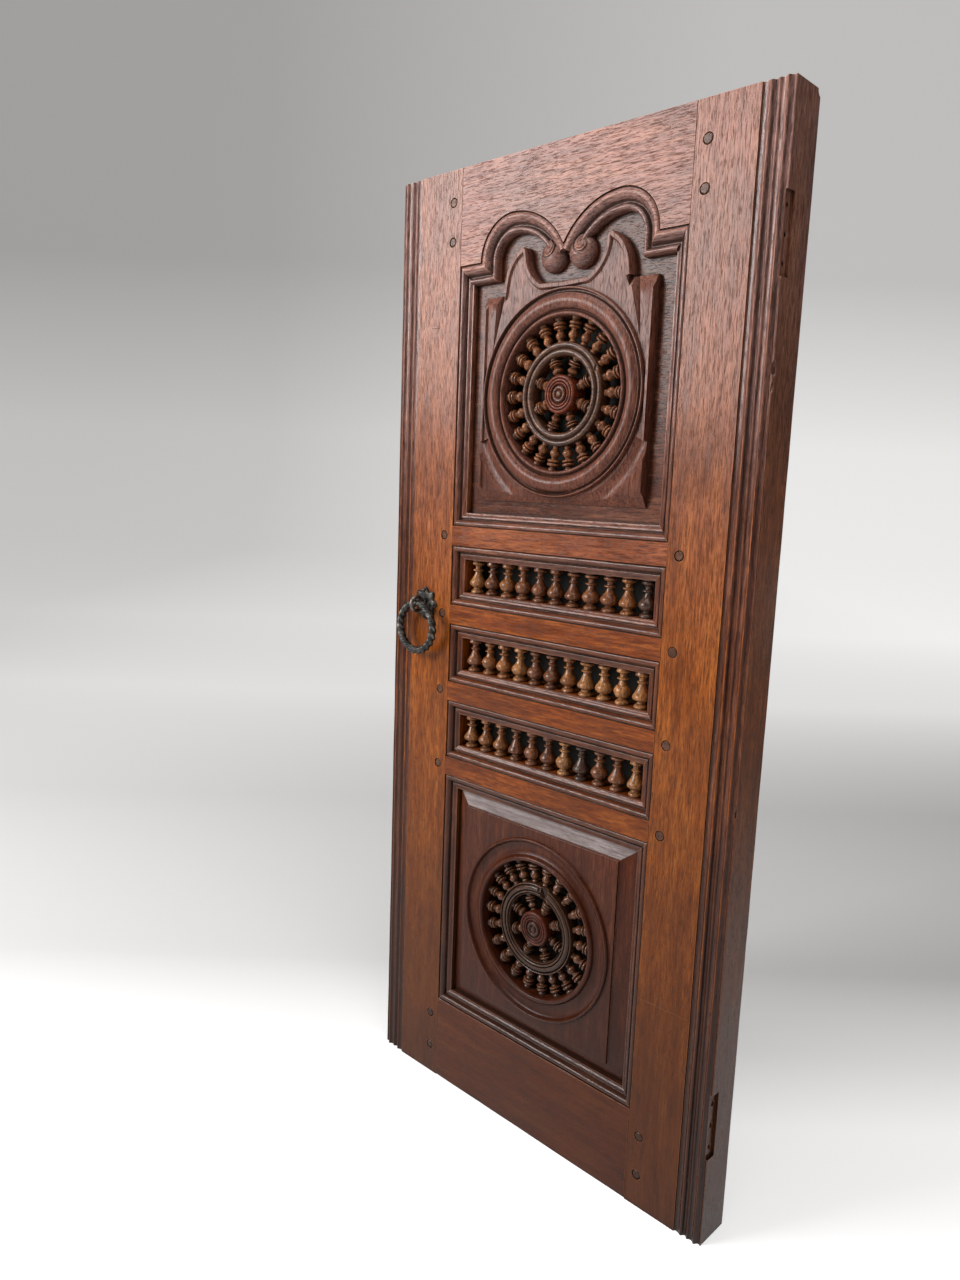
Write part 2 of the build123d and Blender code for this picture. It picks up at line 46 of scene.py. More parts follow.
# Sizes in millimetres, in the leaf's own frame. A depth is measured back from the front face.
front = -25.0
thickness = 50.0
leaf_top = 1150.0
edges_x = {-1: -256.0, 1: 256.0}
joint_x = {-1: -151.0, 1: 159.0}
inner_x = {-1: -134.5, 1: 142.5}
reed_width = {-1: 35.0, 1: 31.5}
centre_x = 4.0
moulding_width = 16.5
shoulder_depth = 11.0
rebate_depth = 37.8
rebate_lap = 14.2
bottom_face = 111.0
rail_lines = (422.0, 519.5, 617.0, 714.5)
rail_face = 24.0
impost_top = 1041.5
impost_foot = 1019.5
joint_play = 0.25
haunch_centre = (-70.0, 1041.5)
haunch_radius = 48.0
crown_centre = (-70.0, 1004.5)
crown_radius = 85.0
arch_width = 22.0
crown_sweep = 60.0
wheel_heights = {"upper": 890.0, "lower": 265.5}
pull_x = -195.5
pull_y = -40.5
pull_z = 638.0
hinge_heights = (1020.0, 137.5)
board_foot = 113.3
board_top = 1103.7
panel_edge = 14.5
panel_back = 25.5
spindle_depth = 14.5
baluster_depth = 17.0
baluster_first = -120.5
baluster_pitch = 24.9
baluster_length = 44.5
baluster_housing = 2.0
pull_radius = 30.0
rail_names = ("lower_panel_rail", "lower_gallery_rail", "upper_gallery_rail", "upper_panel_rail")


# Node helpers
class Shader:
    """A material's node tree with short calls for the nodes used here."""

    def __init__(self, name):
        self.material = bpy.data.materials.new(name)
        self.material.use_nodes = True
        self.tree = self.material.node_tree
        self.surface = self.tree.nodes["Principled BSDF"]
        self.place = self.add("ShaderNodeTexCoord").outputs["Object"]

    def add(self, kind, **values):
        node = self.tree.nodes.new(kind)
        for key, value in values.items():
            setattr(node, key, value)
        return node

    def plug(self, socket, value):
        if isinstance(value, bpy.types.NodeSocket):
            self.tree.links.new(value, socket)
        else:
            socket.default_value = value

    def fill(self, node, **values):
        """A node's inputs set or linked by name; its outputs are returned."""
        for name, value in values.items():
            self.plug(node.inputs[name.replace("_", " ")], value)
        return node.outputs

    def mapped(self, scale=(1, 1, 1), offset=(0, 0, 0)):
        node = self.add("ShaderNodeMapping")
        return self.fill(node, Vector=self.place, Location=offset, Scale=scale)["Vector"]

    def noise(self, vector, scale, detail, roughness, distortion=0.0):
        node = self.add("ShaderNodeTexNoise")
        return self.fill(node, Vector=vector, Scale=scale, Detail=detail, Roughness=roughness,
                         Distortion=distortion)["Fac"]

    def ramp(self, factor, *stops):
        """A colour ramp: each stop is a place and a grey or a colour."""
        node = self.add("ShaderNodeValToRGB")
        elements = node.color_ramp.elements
        while len(elements) < len(stops):
            elements.new(0.5)
        for element, (place, colour) in zip(elements, stops):
            element.position = place
            if isinstance(colour, (int, float)):
                colour = (colour, colour, colour)
            element.color = (*colour, 1)
        self.plug(node.inputs["Fac"], factor)
        return node.outputs["Color"]

    def mix(self, factor, first, second, blend="MIX"):
        node = self.add("ShaderNodeMix", data_type="RGBA", blend_type=blend)
        for socket, value in ((0, factor), (6, first), (7, second)):
            if isinstance(value, tuple):
                value = (*value, 1)
            self.plug(node.inputs[socket], value)
        return node.outputs[2]

    def cover(self, base, mask, share, colour):
        """A colour laid over a base where a mask is above 0."""
        return self.mix(self.math("MULTIPLY", mask, share), base, colour)

    def math(self, operation, first, second=0.0, third=0.0, clamp=False):
        node = self.add("ShaderNodeMath", operation=operation, use_clamp=clamp)
        for socket, value in zip(node.inputs, (first, second, third)):
            self.plug(socket, value)
        return node.outputs["Value"]

    def height(self, low, high):
        """0 at a low height of the leaf and 1 at a high one, in metres."""
        axes = self.fill(self.add("ShaderNodeSeparateXYZ"), Vector=self.place)
        return self.math("DIVIDE", self.math("SUBTRACT", axes["Z"], low), high - low, clamp=True)

    def hollow(self, reach):
        """1 in a crevice and 0 in the open, from ambient occlusion: a mask for darkening crevices."""
        node = self.add("ShaderNodeAmbientOcclusion", samples=6)
        return self.math("SUBTRACT", 1.0, self.fill(node, Distance=reach)["AO"])

    def arris(self, reach):
        """Above 0 where an edge is, for wear that shows there."""
        rounded = self.fill(self.add("ShaderNodeBevel", samples=4), Radius=reach)["Normal"]
        flat = self.add("ShaderNodeNewGeometry").outputs["Normal"]
        across = self.add("ShaderNodeVectorMath", operation="DOT_PRODUCT")
        for socket, normal in zip(across.inputs, (rounded, flat)):
            self.plug(socket, normal)
        return self.math("SUBTRACT", 1.0, across.outputs["Value"])

    def bump(self, height, strength, distance, normal=None):
        node = self.add("ShaderNodeBump")
        self.fill(node, Height=height, Strength=strength, Distance=distance)
        if normal:
            self.plug(node.inputs["Normal"], normal)
        return node.outputs["Normal"]

    def finish(self, **sockets):
        self.fill(self.surface, **sockets)
        return self.material


def old_wood(name, tones, along="Z", figure=1.0, seed=0.0, roughness=0.26, coat=0.02, shine=0.16,
             painted_sheen=None, dirt_and_shade=0.85, wear=0.4):
    """Stained and waxed old timber: tones run from its dark pores to its worn light places. Painted light
    is laid in too: a painted sheen towards the top, painted shade towards the foot, and painted shade with
    the dirt in crevices.
    """
    wood = Shader(name)
    dark, middle, light = tones
    offset = (seed, 0.37 * seed, 0.71 * seed)

    def grain(share, *settings):
        """Noise that is drawn out along the timber."""
        stretch = tuple(share if axis == along else 1 for axis in "XYZ")
        return wood.noise(wood.mapped(stretch, offset), *settings)

    bands = grain(0.1, 95 * figure, 6, 0.72, 0.6)
    streaks = grain(0.08, 520, 4, 0.75)
    pores = grain(0.08, 1300, 2, 0.5)
    clouds = grain(1, 9, 4, 0.62)
    base = wood.ramp(bands, (0.27, dark), (0.5, middle), (0.76, light))
    # Painted sheen: the colour runs paler towards the top, where a reflection of the lamp would show.
    if painted_sheen:
        base = wood.cover(base, wood.height(0.6, 1.1), 0.5, painted_sheen)
    tint = wood.ramp(clouds, (0.32, 0.66), (0.62, 1.0))
    base = wood.mix(1.0, base, tint, "MULTIPLY")
    # Painted shade: every wood is darkened towards the foot of the leaf.
    shade = wood.ramp(wood.height(0.0, 0.9), (0.0, 0.17), (0.25, 0.36), (0.6, 0.84), (1.0, 0.95))
    base = wood.mix(1.0, base, shade, "MULTIPLY")
    streak_mask = wood.ramp(streaks, (0.4, 1.0), (0.55, 0.0))
    base = wood.cover(base, streak_mask, 0.75, tuple(0.7 * c for c in dark))
    pore_mask = wood.ramp(pores, (0.36, 1.0), (0.44, 0.0))
    base = wood.cover(base, pore_mask, 0.65, tuple(0.35 * c for c in dark))
    worn = wood.ramp(wood.arris(0.9 * mm), (0.03, 0.0), (0.2, 1.0))
    base = wood.cover(base, worn, wear, tuple(1.25 * c + 0.05 for c in light))
    # Crevices are darkened almost to black: partly dirt, partly painted shade.
    crevice = wood.ramp(wood.hollow(0.007), (0.18, 0.0), (0.6, 1.0))
    base = wood.cover(base, crevice, dirt_and_shade, (0.012, 0.008, 0.006))
    gloss = wood.math("MULTIPLY_ADD", clouds, 0.3, roughness - 0.15)
    gloss = wood.math("MULTIPLY_ADD", pore_mask, 0.2, gloss)
    gloss = wood.math("MULTIPLY_ADD", crevice, 0.25, gloss, clamp=True)
    relief = wood.math("MULTIPLY_ADD", pore_mask, -1.0, wood.math("MULTIPLY", streaks, 0.6))
    normal = wood.bump(relief, 0.3, 0.25 * mm)
    normal = wood.bump(clouds, 0.25, 2.0 * mm, normal)
    return wood.finish(Base_Color=base, Roughness=gloss, Normal=normal, Coat_Weight=coat,
                       Coat_Roughness=0.2, Specular_IOR_Level=shine)


def dark_iron(name, tones):
    """Old wrought iron, blackened, with worn bright spots."""
    iron = Shader(name)
    patches = iron.noise(iron.mapped(), 90, 4, 0.6)
    pits = iron.noise(iron.mapped(), 700, 3, 0.6)
    base = iron.ramp(patches, (0.35, tones[0]), (0.55, tones[1]), (0.75, tones[2]))
    crevice = iron.ramp(iron.hollow(0.004), (0.2, 0.0), (0.7, 1.0))
    base = iron.mix(crevice, base, (0.01, 0.009, 0.008))
    gloss = iron.math("MULTIPLY_ADD", pits, 0.35, 0.22)
    normal = iron.bump(iron.math("ADD", patches, pits), 0.6, 0.5 * mm)
    return iron.finish(Base_Color=base, Metallic=0.8, Roughness=gloss, Normal=normal)


frame_tones = ((0.11, 0.018, 0.001), (0.3, 0.064, 0.006), (0.53, 0.15, 0.02))
stile_tones = ((0.12, 0.025, 0.001), (0.34, 0.082, 0.008), (0.58, 0.18, 0.025))
# The mouldings' tones are a darker copy of the frame's: partly dirt, partly painted shade.
worn_shaded_tones = ((0.055, 0.012, 0.004), (0.17, 0.044, 0.014), (0.36, 0.13, 0.06))
panel_tones = ((0.055, 0.01, 0.003), (0.155, 0.033, 0.009), (0.29, 0.085, 0.028))
bevel_tones = ((0.04, 0.009, 0.004), (0.12, 0.032, 0.013), (0.26, 0.1, 0.055))
# A pale grey-pink finish for the lower panel's top bevel: a painted reflection.
painted_reflection_tones = ((0.22, 0.16, 0.15), (0.56, 0.46, 0.44), (0.8, 0.72, 0.7))
hub_tones = ((0.06, 0.009, 0.003), (0.2, 0.036, 0.012), (0.38, 0.11, 0.045))
ring_tones = ((0.035, 0.013, 0.006), (0.12, 0.046, 0.022), (0.28, 0.13, 0.07))
peg_tones = ((0.06, 0.022, 0.012), (0.16, 0.066, 0.036), (0.32, 0.16, 0.1))
board_tones = ((0.006, 0.006, 0.004), (0.014, 0.013, 0.009), (0.025, 0.021, 0.014))
# A pale tone laid over the upper wood: a painted sheen.
painted_sheen_tone = (0.44, 0.28, 0.26)
waxed = {"roughness": 0.22, "coat": 0.06, "shine": 0.22, "painted_sheen": painted_sheen_tone, "wear": 0.7}

stile_wood = old_wood("stile_wood", stile_tones, "Z", painted_sheen=painted_sheen_tone)
rail_wood = old_wood("rail_wood", frame_tones, "X", seed=3.1, painted_sheen=painted_sheen_tone)
panel_wood = old_wood("panel_wood", panel_tones, "Z", seed=5.7, roughness=0.3, painted_sheen=(0.4, 0.21, 0.17))
wheel_wood = old_wood("wheel_wood", ring_tones, "X", seed=2.2, roughness=0.24, coat=0.06, shine=0.22,
                      wear=0.5)
hub_wood = old_wood("hub_wood", hub_tones, "X", seed=1.4, roughness=0.34, wear=0.5)
peg_wood = old_wood("peg_wood", peg_tones, "Y", seed=6.2)
board_wood = old_wood("board_wood", board_tones, "Z", seed=9.2, roughness=0.6, coat=0.0)
# The mouldings' finish: darker, partly dirt and partly painted shade, with more edge wear.
shaded_worn_stile = old_wood("worn_stile_moulding", worn_shaded_tones, "Z", seed=4.4, **waxed)
shaded_worn_rail = old_wood("worn_rail_moulding", worn_shaded_tones, "X", seed=7.9, **waxed)
bevel_wood = old_wood("panel_bevel", bevel_tones, "X", seed=2.6, roughness=0.24)
painted_reflection_wood = old_wood("painted_reflection_bevel", painted_reflection_tones, "X", seed=3.6, roughness=0.24, coat=0.1, shine=0.3,
                        dirt_and_shade=0.5)
turned_woods = [
    old_wood(f"turned_wood_{k + 1}", tones, "Z", figure=2.0, seed=8.3 + k, roughness=0.22, coat=0.12,
             shine=0.3)
    for k, tones in enumerate((
        ((0.1, 0.028, 0.007), (0.38, 0.13, 0.035), (0.72, 0.34, 0.12)),
        ((0.06, 0.017, 0.006), (0.22, 0.068, 0.022), (0.5, 0.2, 0.075)),
        ((0.14, 0.045, 0.012), (0.54, 0.22, 0.07), (0.85, 0.46, 0.19)),
        ((0.08, 0.023, 0.008), (0.3, 0.096, 0.032), (0.58, 0.26, 0.11)),
        ((0.03, 0.012, 0.007), (0.1, 0.042, 0.024), (0.24, 0.12, 0.075)),
    ))
]
iron = dark_iron("dark_iron", ((0.017, 0.016, 0.015), (0.055, 0.05, 0.045), (0.18, 0.165, 0.145)))
bright_iron = dark_iron("worn_iron", ((0.03, 0.026, 0.022), (0.12, 0.1, 0.085), (0.34, 0.29, 0.25)))


# Mesh helpers
def turns(count):
    """Angles in even steps all the way round."""
    return [2 * pi * k / count for k in range(count)]


def arc(centre, radius, first, last, steps):
    """Points along an arc in the face plane, with angles in degrees."""
    angles = [radians(first + (last - first) * k / steps) for k in range(steps + 1)]
    return [(centre[0] + radius * cos(a), centre[1] + radius * sin(a)) for a in angles]


def circle(centre, radius):
    """A round hole's outline."""
    sides = 96
    return arc(centre, radius, 0, 360 - 360 / sides, sides - 1)


def other_half(points):
    """A line of points mirrored about the openings' middle, from its last point back to its first."""
    return [(2 * centre_x - x, z) for x, z in reversed(points)]


def smooth_line(points, steps):
    """A smooth line through the points of a section."""
    ends = [points[0], *points, points[-1]]
    line = []
    for before, start, end, after in zip(ends, ends[1:], ends[2:], ends[3:]):
        for k in range(steps):
            t = k / steps
            line.append(tuple(
                0.5 * (2 * s + (e - b) * t + (2 * b - 5 * s + 4 * e - a) * t ** 2
                       + (3 * s - b - 3 * e + a) * t ** 3)
                for b, s, e, a in zip(before, start, end, after)))
    return line + [points[-1]]


def pick(items, kind):
    """The vertices, the edges or the faces among what an operation returns."""
    return [item for item in items if isinstance(item, kind)]


def corners_of(items):
    """The vertices of some edges or faces."""
    return list({v for item in items for v in item.verts})


def slice_off(bm, point, normal):
    """Whatever lies beyond a plane is cut away and the cut is closed."""
    geom = bm.verts[:] + bm.edges[:] + bm.faces[:]
    cut = bmesh.ops.bisect_plane(bm, geom=geom, dist=0.001, plane_co=point, plane_no=normal,
                                 clear_outer=True)
    bmesh.ops.holes_fill(bm, edges=pick(cut["geom_cut"], BMEdge), sides=0)


def draw_out(bm, travel):
    """A flat sheet given thickness, with its first side kept."""
    grown = bmesh.ops.extrude_face_region(bm, geom=bm.faces[:] + bm.edges[:] + bm.verts[:],
                                          use_keep_orig=True)
    bmesh.ops.translate(bm, verts=pick(grown["geom"], BMVert), vec=travel)
    return bm


def edges_out(bm, edges):
    """A strip of faces grown from a closed run of edges: the strip's far edges are returned."""
    grown = bmesh.ops.extrude_edge_only(bm, edges=edges)["geom"]
    return [e for e in pick(grown, BMEdge) if e.is_boundary]


def closed_bar(section, start, across, travel, cuts=()):
    """A bar whose section points are a reach along across and a depth."""
    bm = bmesh.new()
    corners = [bm.verts.new(Vector(start) + u * Vector(across) + Vector((0, front + d, 0)))
               for u, d in section]
    bm.faces.new(corners)
    draw_out(bm, travel)
    for point, normal in cuts:
        slice_off(bm, point, normal)
    return bm


def loop_edges(bm, points, depth):
    corners = [bm.verts.new((x, front + depth, z)) for x, z in points]
    return [bm.edges.new(pair) for pair in zip(corners, corners[1:] + corners[:1])]


def board(outlines, near, far):
    """A board between two depths: the first outline is its edge and the others are holes."""
    bm = bmesh.new()
    rims = [edge for outline in outlines for edge in loop_edges(bm, outline, near)]
    bmesh.ops.triangle_fill(bm, use_beauty=True, edges=rims)
    return draw_out(bm, (0, far - near, 0))


def block(x_range, depth_range, z_range):
    (x0, x1), (z0, z1) = x_range, z_range
    return board([[(x0, z0), (x1, z0), (x1, z1), (x0, z1)]], *depth_range)


def spun(bm, line, centre, axis, steps, closed=True):
    """A line of vertices turned all the way round an axis."""
    pairs = zip(line, line[1:] + line[:1]) if closed else zip(line, line[1:])
    edges = [bm.edges.new(pair) for pair in pairs]
    bmesh.ops.spin(bm, geom=line + edges, cent=centre, axis=axis, angle=2 * pi, steps=steps,
                   use_merge=True, use_duplicate=False)
    bmesh.ops.remove_doubles(bm, verts=bm.verts, dist=0.001)
    return bm


def turned_ring(profile, centre, steps, closed=True):
    """A ring turned about the leaf's thickness: profile holds radii and depths."""
    bm = bmesh.new()
    x, z = centre
    line = [bm.verts.new((x + r, front + d, z)) for r, d in profile]
    return spun(bm, line, (x, front, z), (0, 1, 0), steps, closed)


def turning(profile, place, steps):
    """A turned piece: profile holds heights and radii, and place is where its foot stands."""
    bm = bmesh.new()
    line = [bm.verts.new((r, 0, h)) for h, r in profile]
    spun(bm, line, (0, 0, 0), (0, 0, 1), steps, closed=False)
    bmesh.ops.transform(bm, matrix=place, verts=bm.verts)
    return bm


def together(*shapes):
    """Several shapes in one mesh."""
    whole = bmesh.new()
    for shape in shapes:
        holder = bpy.data.meshes.new("holder")
        shape.to_mesh(holder)
        shape.free()
        whole.from_mesh(holder)
        bpy.data.meshes.remove(holder)
    return whole


def mirrored(bm):
    """The same shape on the other side of the openings' middle."""
    copy = bm.copy()
    bmesh.ops.scale(copy, vec=(-1, 1, 1), verts=copy.verts)
    bmesh.ops.translate(copy, vec=(2 * centre_x, 0, 0), verts=copy.verts)
    return copy


def weather(bm, amount, seed, spacing=22.0):
    """Long edges divided and the surface made a little uneven, as in hand-worked wood."""
    long_edges = [e for e in bm.edges if e.calc_length() > 3 * spacing]
    if long_edges:
        longest = max(e.calc_length() for e in long_edges)
        bmesh.ops.subdivide_edges(bm, edges=long_edges, cuts=int(longest / spacing), use_grid_fill=True)
    for v in bm.verts:
        v.co += amount * noise.noise_vector(v.co * 0.02 + Vector((seed, 0, 0)))
        v.co += 0.4 * amount * noise.noise_vector(v.co * 0.11 + Vector((0, seed, 0)))
    return bm


def as_object(bm, name):
    bmesh.ops.recalc_face_normals(bm, faces=bm.faces)
    mesh = bpy.data.meshes.new(name)
    bm.to_mesh(mesh)
    bm.free()
    thing = bpy.data.objects.new(name, mesh)
    scene.collection.objects.link(thing)
    return thing


def carve(bm, *cutters):
    """The cutters' shapes taken out of a solid."""
    solid = as_object(bm, "solid")
    tool = as_object(together(*cutters), "tool")
    change = solid.modifiers.new("cut", "BOOLEAN")
    change.operation = "DIFFERENCE"
    change.solver = "EXACT"
    change.use_self = True
    change.object = tool
    result = bpy.data.meshes.new_from_object(solid.evaluated_get(bpy.context.evaluated_depsgraph_get()))
    carved = bmesh.new()
    carved.from_mesh(result)
    for thing in (solid, tool):
        mesh = thing.data
        bpy.data.objects.remove(thing)
        bpy.data.meshes.remove(mesh)
    bpy.data.meshes.remove(result)
    return carved


def tube(points, radii):
    """A round strand along points, with its own radius at each."""
    data = bpy.data.curves.new("strand", "CURVE")
    data.dimensions = "3D"
    data.bevel_depth = 1.0
    data.bevel_resolution = 4
    data.resolution_u = 3
    data.use_fill_caps = True
    line = data.splines.new("NURBS")
    line.points.add(len(points) - 1)
    for point, place, radius in zip(line.points, points, radii):
        point.co = (*place, 1)
        point.radius = radius
    line.order_u = 3
    line.use_endpoint_u = True
    holder = bpy.data.objects.new("strand", data)
    mesh = bpy.data.meshes.new_from_object(holder)
    bm = bmesh.new()
    bm.from_mesh(mesh)
    bpy.data.objects.remove(holder)
    bpy.data.curves.remove(data)
    bpy.data.meshes.remove(mesh)
    bmesh.ops.remove_doubles(bm, verts=bm.verts, dist=0.001)
    return bm


def scratch(start, end, width, depth):
    """A thin cutter for a crack or a scribed line in the front face, between two x and z places."""
    run = Vector((end[0] - start[0], 0, end[1] - start[1]))
    side = Vector((-run.z, 0, run.x)).normalized()
    section = [(-width / 2, -1.0), (0, depth), (width / 2, -1.0)]
    return closed_bar(section, (start[0], 0, start[1]), side, run)


def chip(place, size, seed):
    """A small rough lump that is taken out of an edge."""
    bm = bmesh.new()
    bmesh.ops.create_icosphere(bm, subdivisions=2, radius=1.0)
    for v in bm.verts:
        v.co *= 1 + 0.35 * noise.noise(v.co * 2.1 + Vector((seed, seed, 0)))
    bmesh.ops.scale(bm, vec=size, verts=bm.verts)
    bmesh.ops.translate(bm, vec=place, verts=bm.verts)
    return bm


def piece(name, bm, finish, nodes, body="leaf", sharp=34, worked=None, depths=(0.35, 10.9),
          above=0.0):
    """A finished piece in metres that rides on a body and stands for CAD nodes.

    Its faces between two depths and above a height are worked ones, with a finish of their own.
    """
    for v in bm.verts:
        v.co.x = min(max(v.co.x, edges_x[-1]), edges_x[1])
        v.co.y = min(v.co.y, front + thickness)
        v.co.z = min(max(v.co.z, 0.0), leaf_top)
    bmesh.ops.scale(bm, vec=(mm, mm, mm), verts=bm.verts)
    thing = as_object(bm, name)
    thing.data.shade_smooth()
    thing.data.set_sharp_from_angle(angle=radians(sharp))
    thing.data.materials.append(finish)
    if worked:
        thing.data.materials.append(worked)
        for face in thing.data.polygons:
            inside = depths[0] < face.center.y / mm - front < depths[1] and face.center.z / mm > above
            if inside and abs(face.normal.x) < 0.97:
                face.material_index = 1
    flats = thing.modifiers.new("flats", "WEIGHTED_NORMAL")
    flats.keep_sharp = True
    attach(thing, body)
    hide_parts(*nodes)


# Mouldings: each section runs from the frame's face into the opening and holds reaches and depths
moulding_line = [(0, 2.6)] + smooth_line([
    (0.4, 2.8), (0.9, 1.5), (2.2, 0.7), (4.2, 0.7), (6.0, 1.7), (7.2, 3.4), (7.8, 5.2), (8.3, 6.6),
    (9.0, 6.9), (9.6, 5.9), (10.6, 5.4), (12.4, 5.8), (14.0, 6.8), (15.0, 7.3)], 3)
moulding_line += [(moulding_width - 0.3, 7.4), (moulding_width, 7.8)]
arch_line = [(0, 2.6)] + smooth_line([
    (0.5, 2.8), (1.4, 1.2), (3.6, 0.2), (6.8, 0.3), (9.6, 1.8), (11.4, 4.2), (12.4, 6.6), (13.4, 7.8),
    (14.6, 7.6), (15.6, 6.0), (16.6, 4.2), (18.0, 3.4), (19.6, 3.6), (20.8, 4.8), (21.5, 6.4)], 3)
arch_line += [(arch_width, 8.4)]

# The stile's reeds, as shares of their width and depth
reed_line = [(0, 0), (0.01, 0.45)] + smooth_line([
    (0.04, 0.55), (0.1, 0.52), (0.17, 0.4), (0.23, 0.12), (0.27, 0.05), (0.31, 0.25), (0.345, 0.72),
    (0.39, 0.9), (0.44, 0.7), (0.48, 0.36), (0.515, 0.22), (0.55, 0.36), (0.58, 0.62), (0.65, 0.66),
    (0.71, 0.5), (0.745, 0.18), (0.78, 0.05), (0.82, 0.25), (0.86, 0.75), (0.915, 1.0), (0.955, 0.86),
    (0.985, 0.72)], 3)
reed_depth = 4.2


def mitre(x, z, toward, rise):
    """A mitre's cutting plane through a place on the face: what lies toward and above it is cut away."""
    return (x, front, z), Vector((toward, 0, rise))


def stile(side):
    outer, joint, inner = edges_x[side], joint_x[side], inner_x[side]
    width = reed_width[side]
    reeds = [(outer - side * width * (1 - u), d * reed_depth) for u, d in reed_line]
    rebate_x = inner + side * rebate_lap
    section = [(inner, shoulder_depth), (joint, shoulder_depth), (joint, 0.5), (joint + side * 0.5, 0.0)]
    section += reeds + [(outer, 3.6), (outer, 48.0), (outer - side * 0.6, 49.4), (outer - side * 2.0, 50.0),
                        (rebate_x, 50.0), (rebate_x, rebate_depth), (inner, rebate_depth)]
    return weather(closed_bar(section, (0, 0, 0), (1, 0, 0), (0, 0, leaf_top)), 0.28, side)


def stile_mouldings(side):
    """The moulding down the stile's inner edge at each opening, mitred into the rails."""
    joint, inner = joint_x[side], inner_x[side]
    section = [(joint - side * u, d) for u, d in moulding_line]
    section += [(inner, shoulder_depth), (joint, shoulder_depth)]
    lows = [bottom_face] + [line + rail_face for line in rail_lines]
    highs = list(rail_lines) + [impost_top]
    shapes = []
    for low, high in zip(lows, highs):
        slope = arch_width / moulding_width if high == impost_top else 1.0
        cuts = [mitre(joint, low, -side, -1), mitre(joint, high, -side * slope, 1)]
        bar = closed_bar(section, (0, 0, low), (1, 0, 0), (0, 0, high - low), cuts)
        shapes.append(weather(bar, 0.2, low))
    rebate_x = inner + side * rebate_lap
    for z_range in ((0, board_foot), (board_top, leaf_top)):
        shapes.append(block(sorted((rebate_x, inner)), (rebate_depth, thickness), z_range))
    return shapes


peg_places = [(x, z) for z in (1114.0, 1070.0, 38.0, 85.0, 434.0, 531.5, 629.0, 726.5)
              for x in (-165.0, 173.0)]


def peg_holes(side):
    return [turned_ring([(0, -2), (5.9, -2), (5.7, 3), (0, 3)], place, 18, closed=False)
            for place in peg_places if (place[0] > 0) == (side > 0)]


def hinge_recess(height):
    """The cutters for a hinge's shallow recess in the outer edge and for its three screw holes."""
    cutters = [block((253.0, 260.0), (-3.0, 16.5), (height - 37.0, height + 37.0))]
    for offset in (-25.0, 0.0, 25.0):
        place = Matrix.Translation((240.0, front + 10.35, height + offset))
        place = place @ Matrix.Rotation(pi / 2, 4, "Y")
        screw_line = [(0, 0), (0, 2.2), (12.0, 2.2), (13.6, 4.0), (16, 4.2), (16, 0)]
        cutters.append(turning(screw_line, place, 18))
    return cutters


def make_stiles():
    left_cutters = [
        block((pull_x - 3, pull_x + 3), (-2, 20), (pull_z - 3, pull_z + 3)), *peg_holes(-1),
        scratch((-225, 245.6), (-151, 244.2), 0.9, 0.9), scratch((-246, 940), (-238, 939.2), 1.4, 3.0),
        scratch((-247, 905), (-237, 905.6), 1.4, 3.0), scratch((-196, 975), (-183, 974.2), 1.0, 0.9)]
    right_cutters = [
        *peg_holes(1),
        scratch((159.5, 245.2), (222, 246.4), 0.9, 0.9), scratch((190, 681), (197, 668), 0.9, 1.4),
        scratch((206, 584), (208.5, 566), 0.9, 1.4), scratch((176, 603), (216, 607), 0.5, 0.4),
        scratch((181, 592), (206, 599), 0.5, 0.4),
        chip((255.5, front + 4.0, 903.0), (3.0, 4.0, 8.0), 1.0),
        chip((255.8, front + 3.0, 886.0), (2.0, 3.0, 5.0), 2.0),
        chip((257.0, front + 50.0, 1150.0), (7.0, 7.0, 7.0), 3.0),
        chip((255.0, front + 3.5, 480.0), (2.0, 2.5, 6.0), 4.0),
        *hinge_recess(hinge_heights[1]), *hinge_recess(hinge_heights[0])]
    for side, name, cutters in ((-1, "meeting_stile", left_cutters), (1, "hinge_stile", right_cutters)):
        solid = together(carve(stile(side), *cutters), *stile_mouldings(side))
        piece(f"reeded_{name}", solid, stile_wood, [name], worked=shaded_worn_stile)


# Rails
def rail_front(lower, upper, low_moulding=True):
    """A rail's front layer between its face lines, with mouldings mitred to the stiles."""
    left_end, right_end = joint_x[-1] + joint_play, joint_x[1] - joint_play
    section = [(upper + moulding_width, shoulder_depth)] + [(upper + u, d) for u, d in moulding_line[::-1]]
    section += [(upper, 0.5), (upper - 0.5, 0)]
    cuts = [mitre(left_end, upper, -1, 1), mitre(right_end, upper, 1, 1)]
    if low_moulding:
        section += [(lower + 0.5, 0), (lower, 0.5)] + [(lower - u, d) for u, d in moulding_line]
        section.append((lower - moulding_width, shoulder_depth))
        cuts += [mitre(left_end, lower, -1, -1), mitre(right_end, lower, 1, -1)]
    else:
        section += [(lower + 1.0, 0), (lower, 1.0), (lower, shoulder_depth)]
    return closed_bar(section, (left_end, 0, 0), (0, 0, 1), (right_end - left_end, 0, 0), cuts)


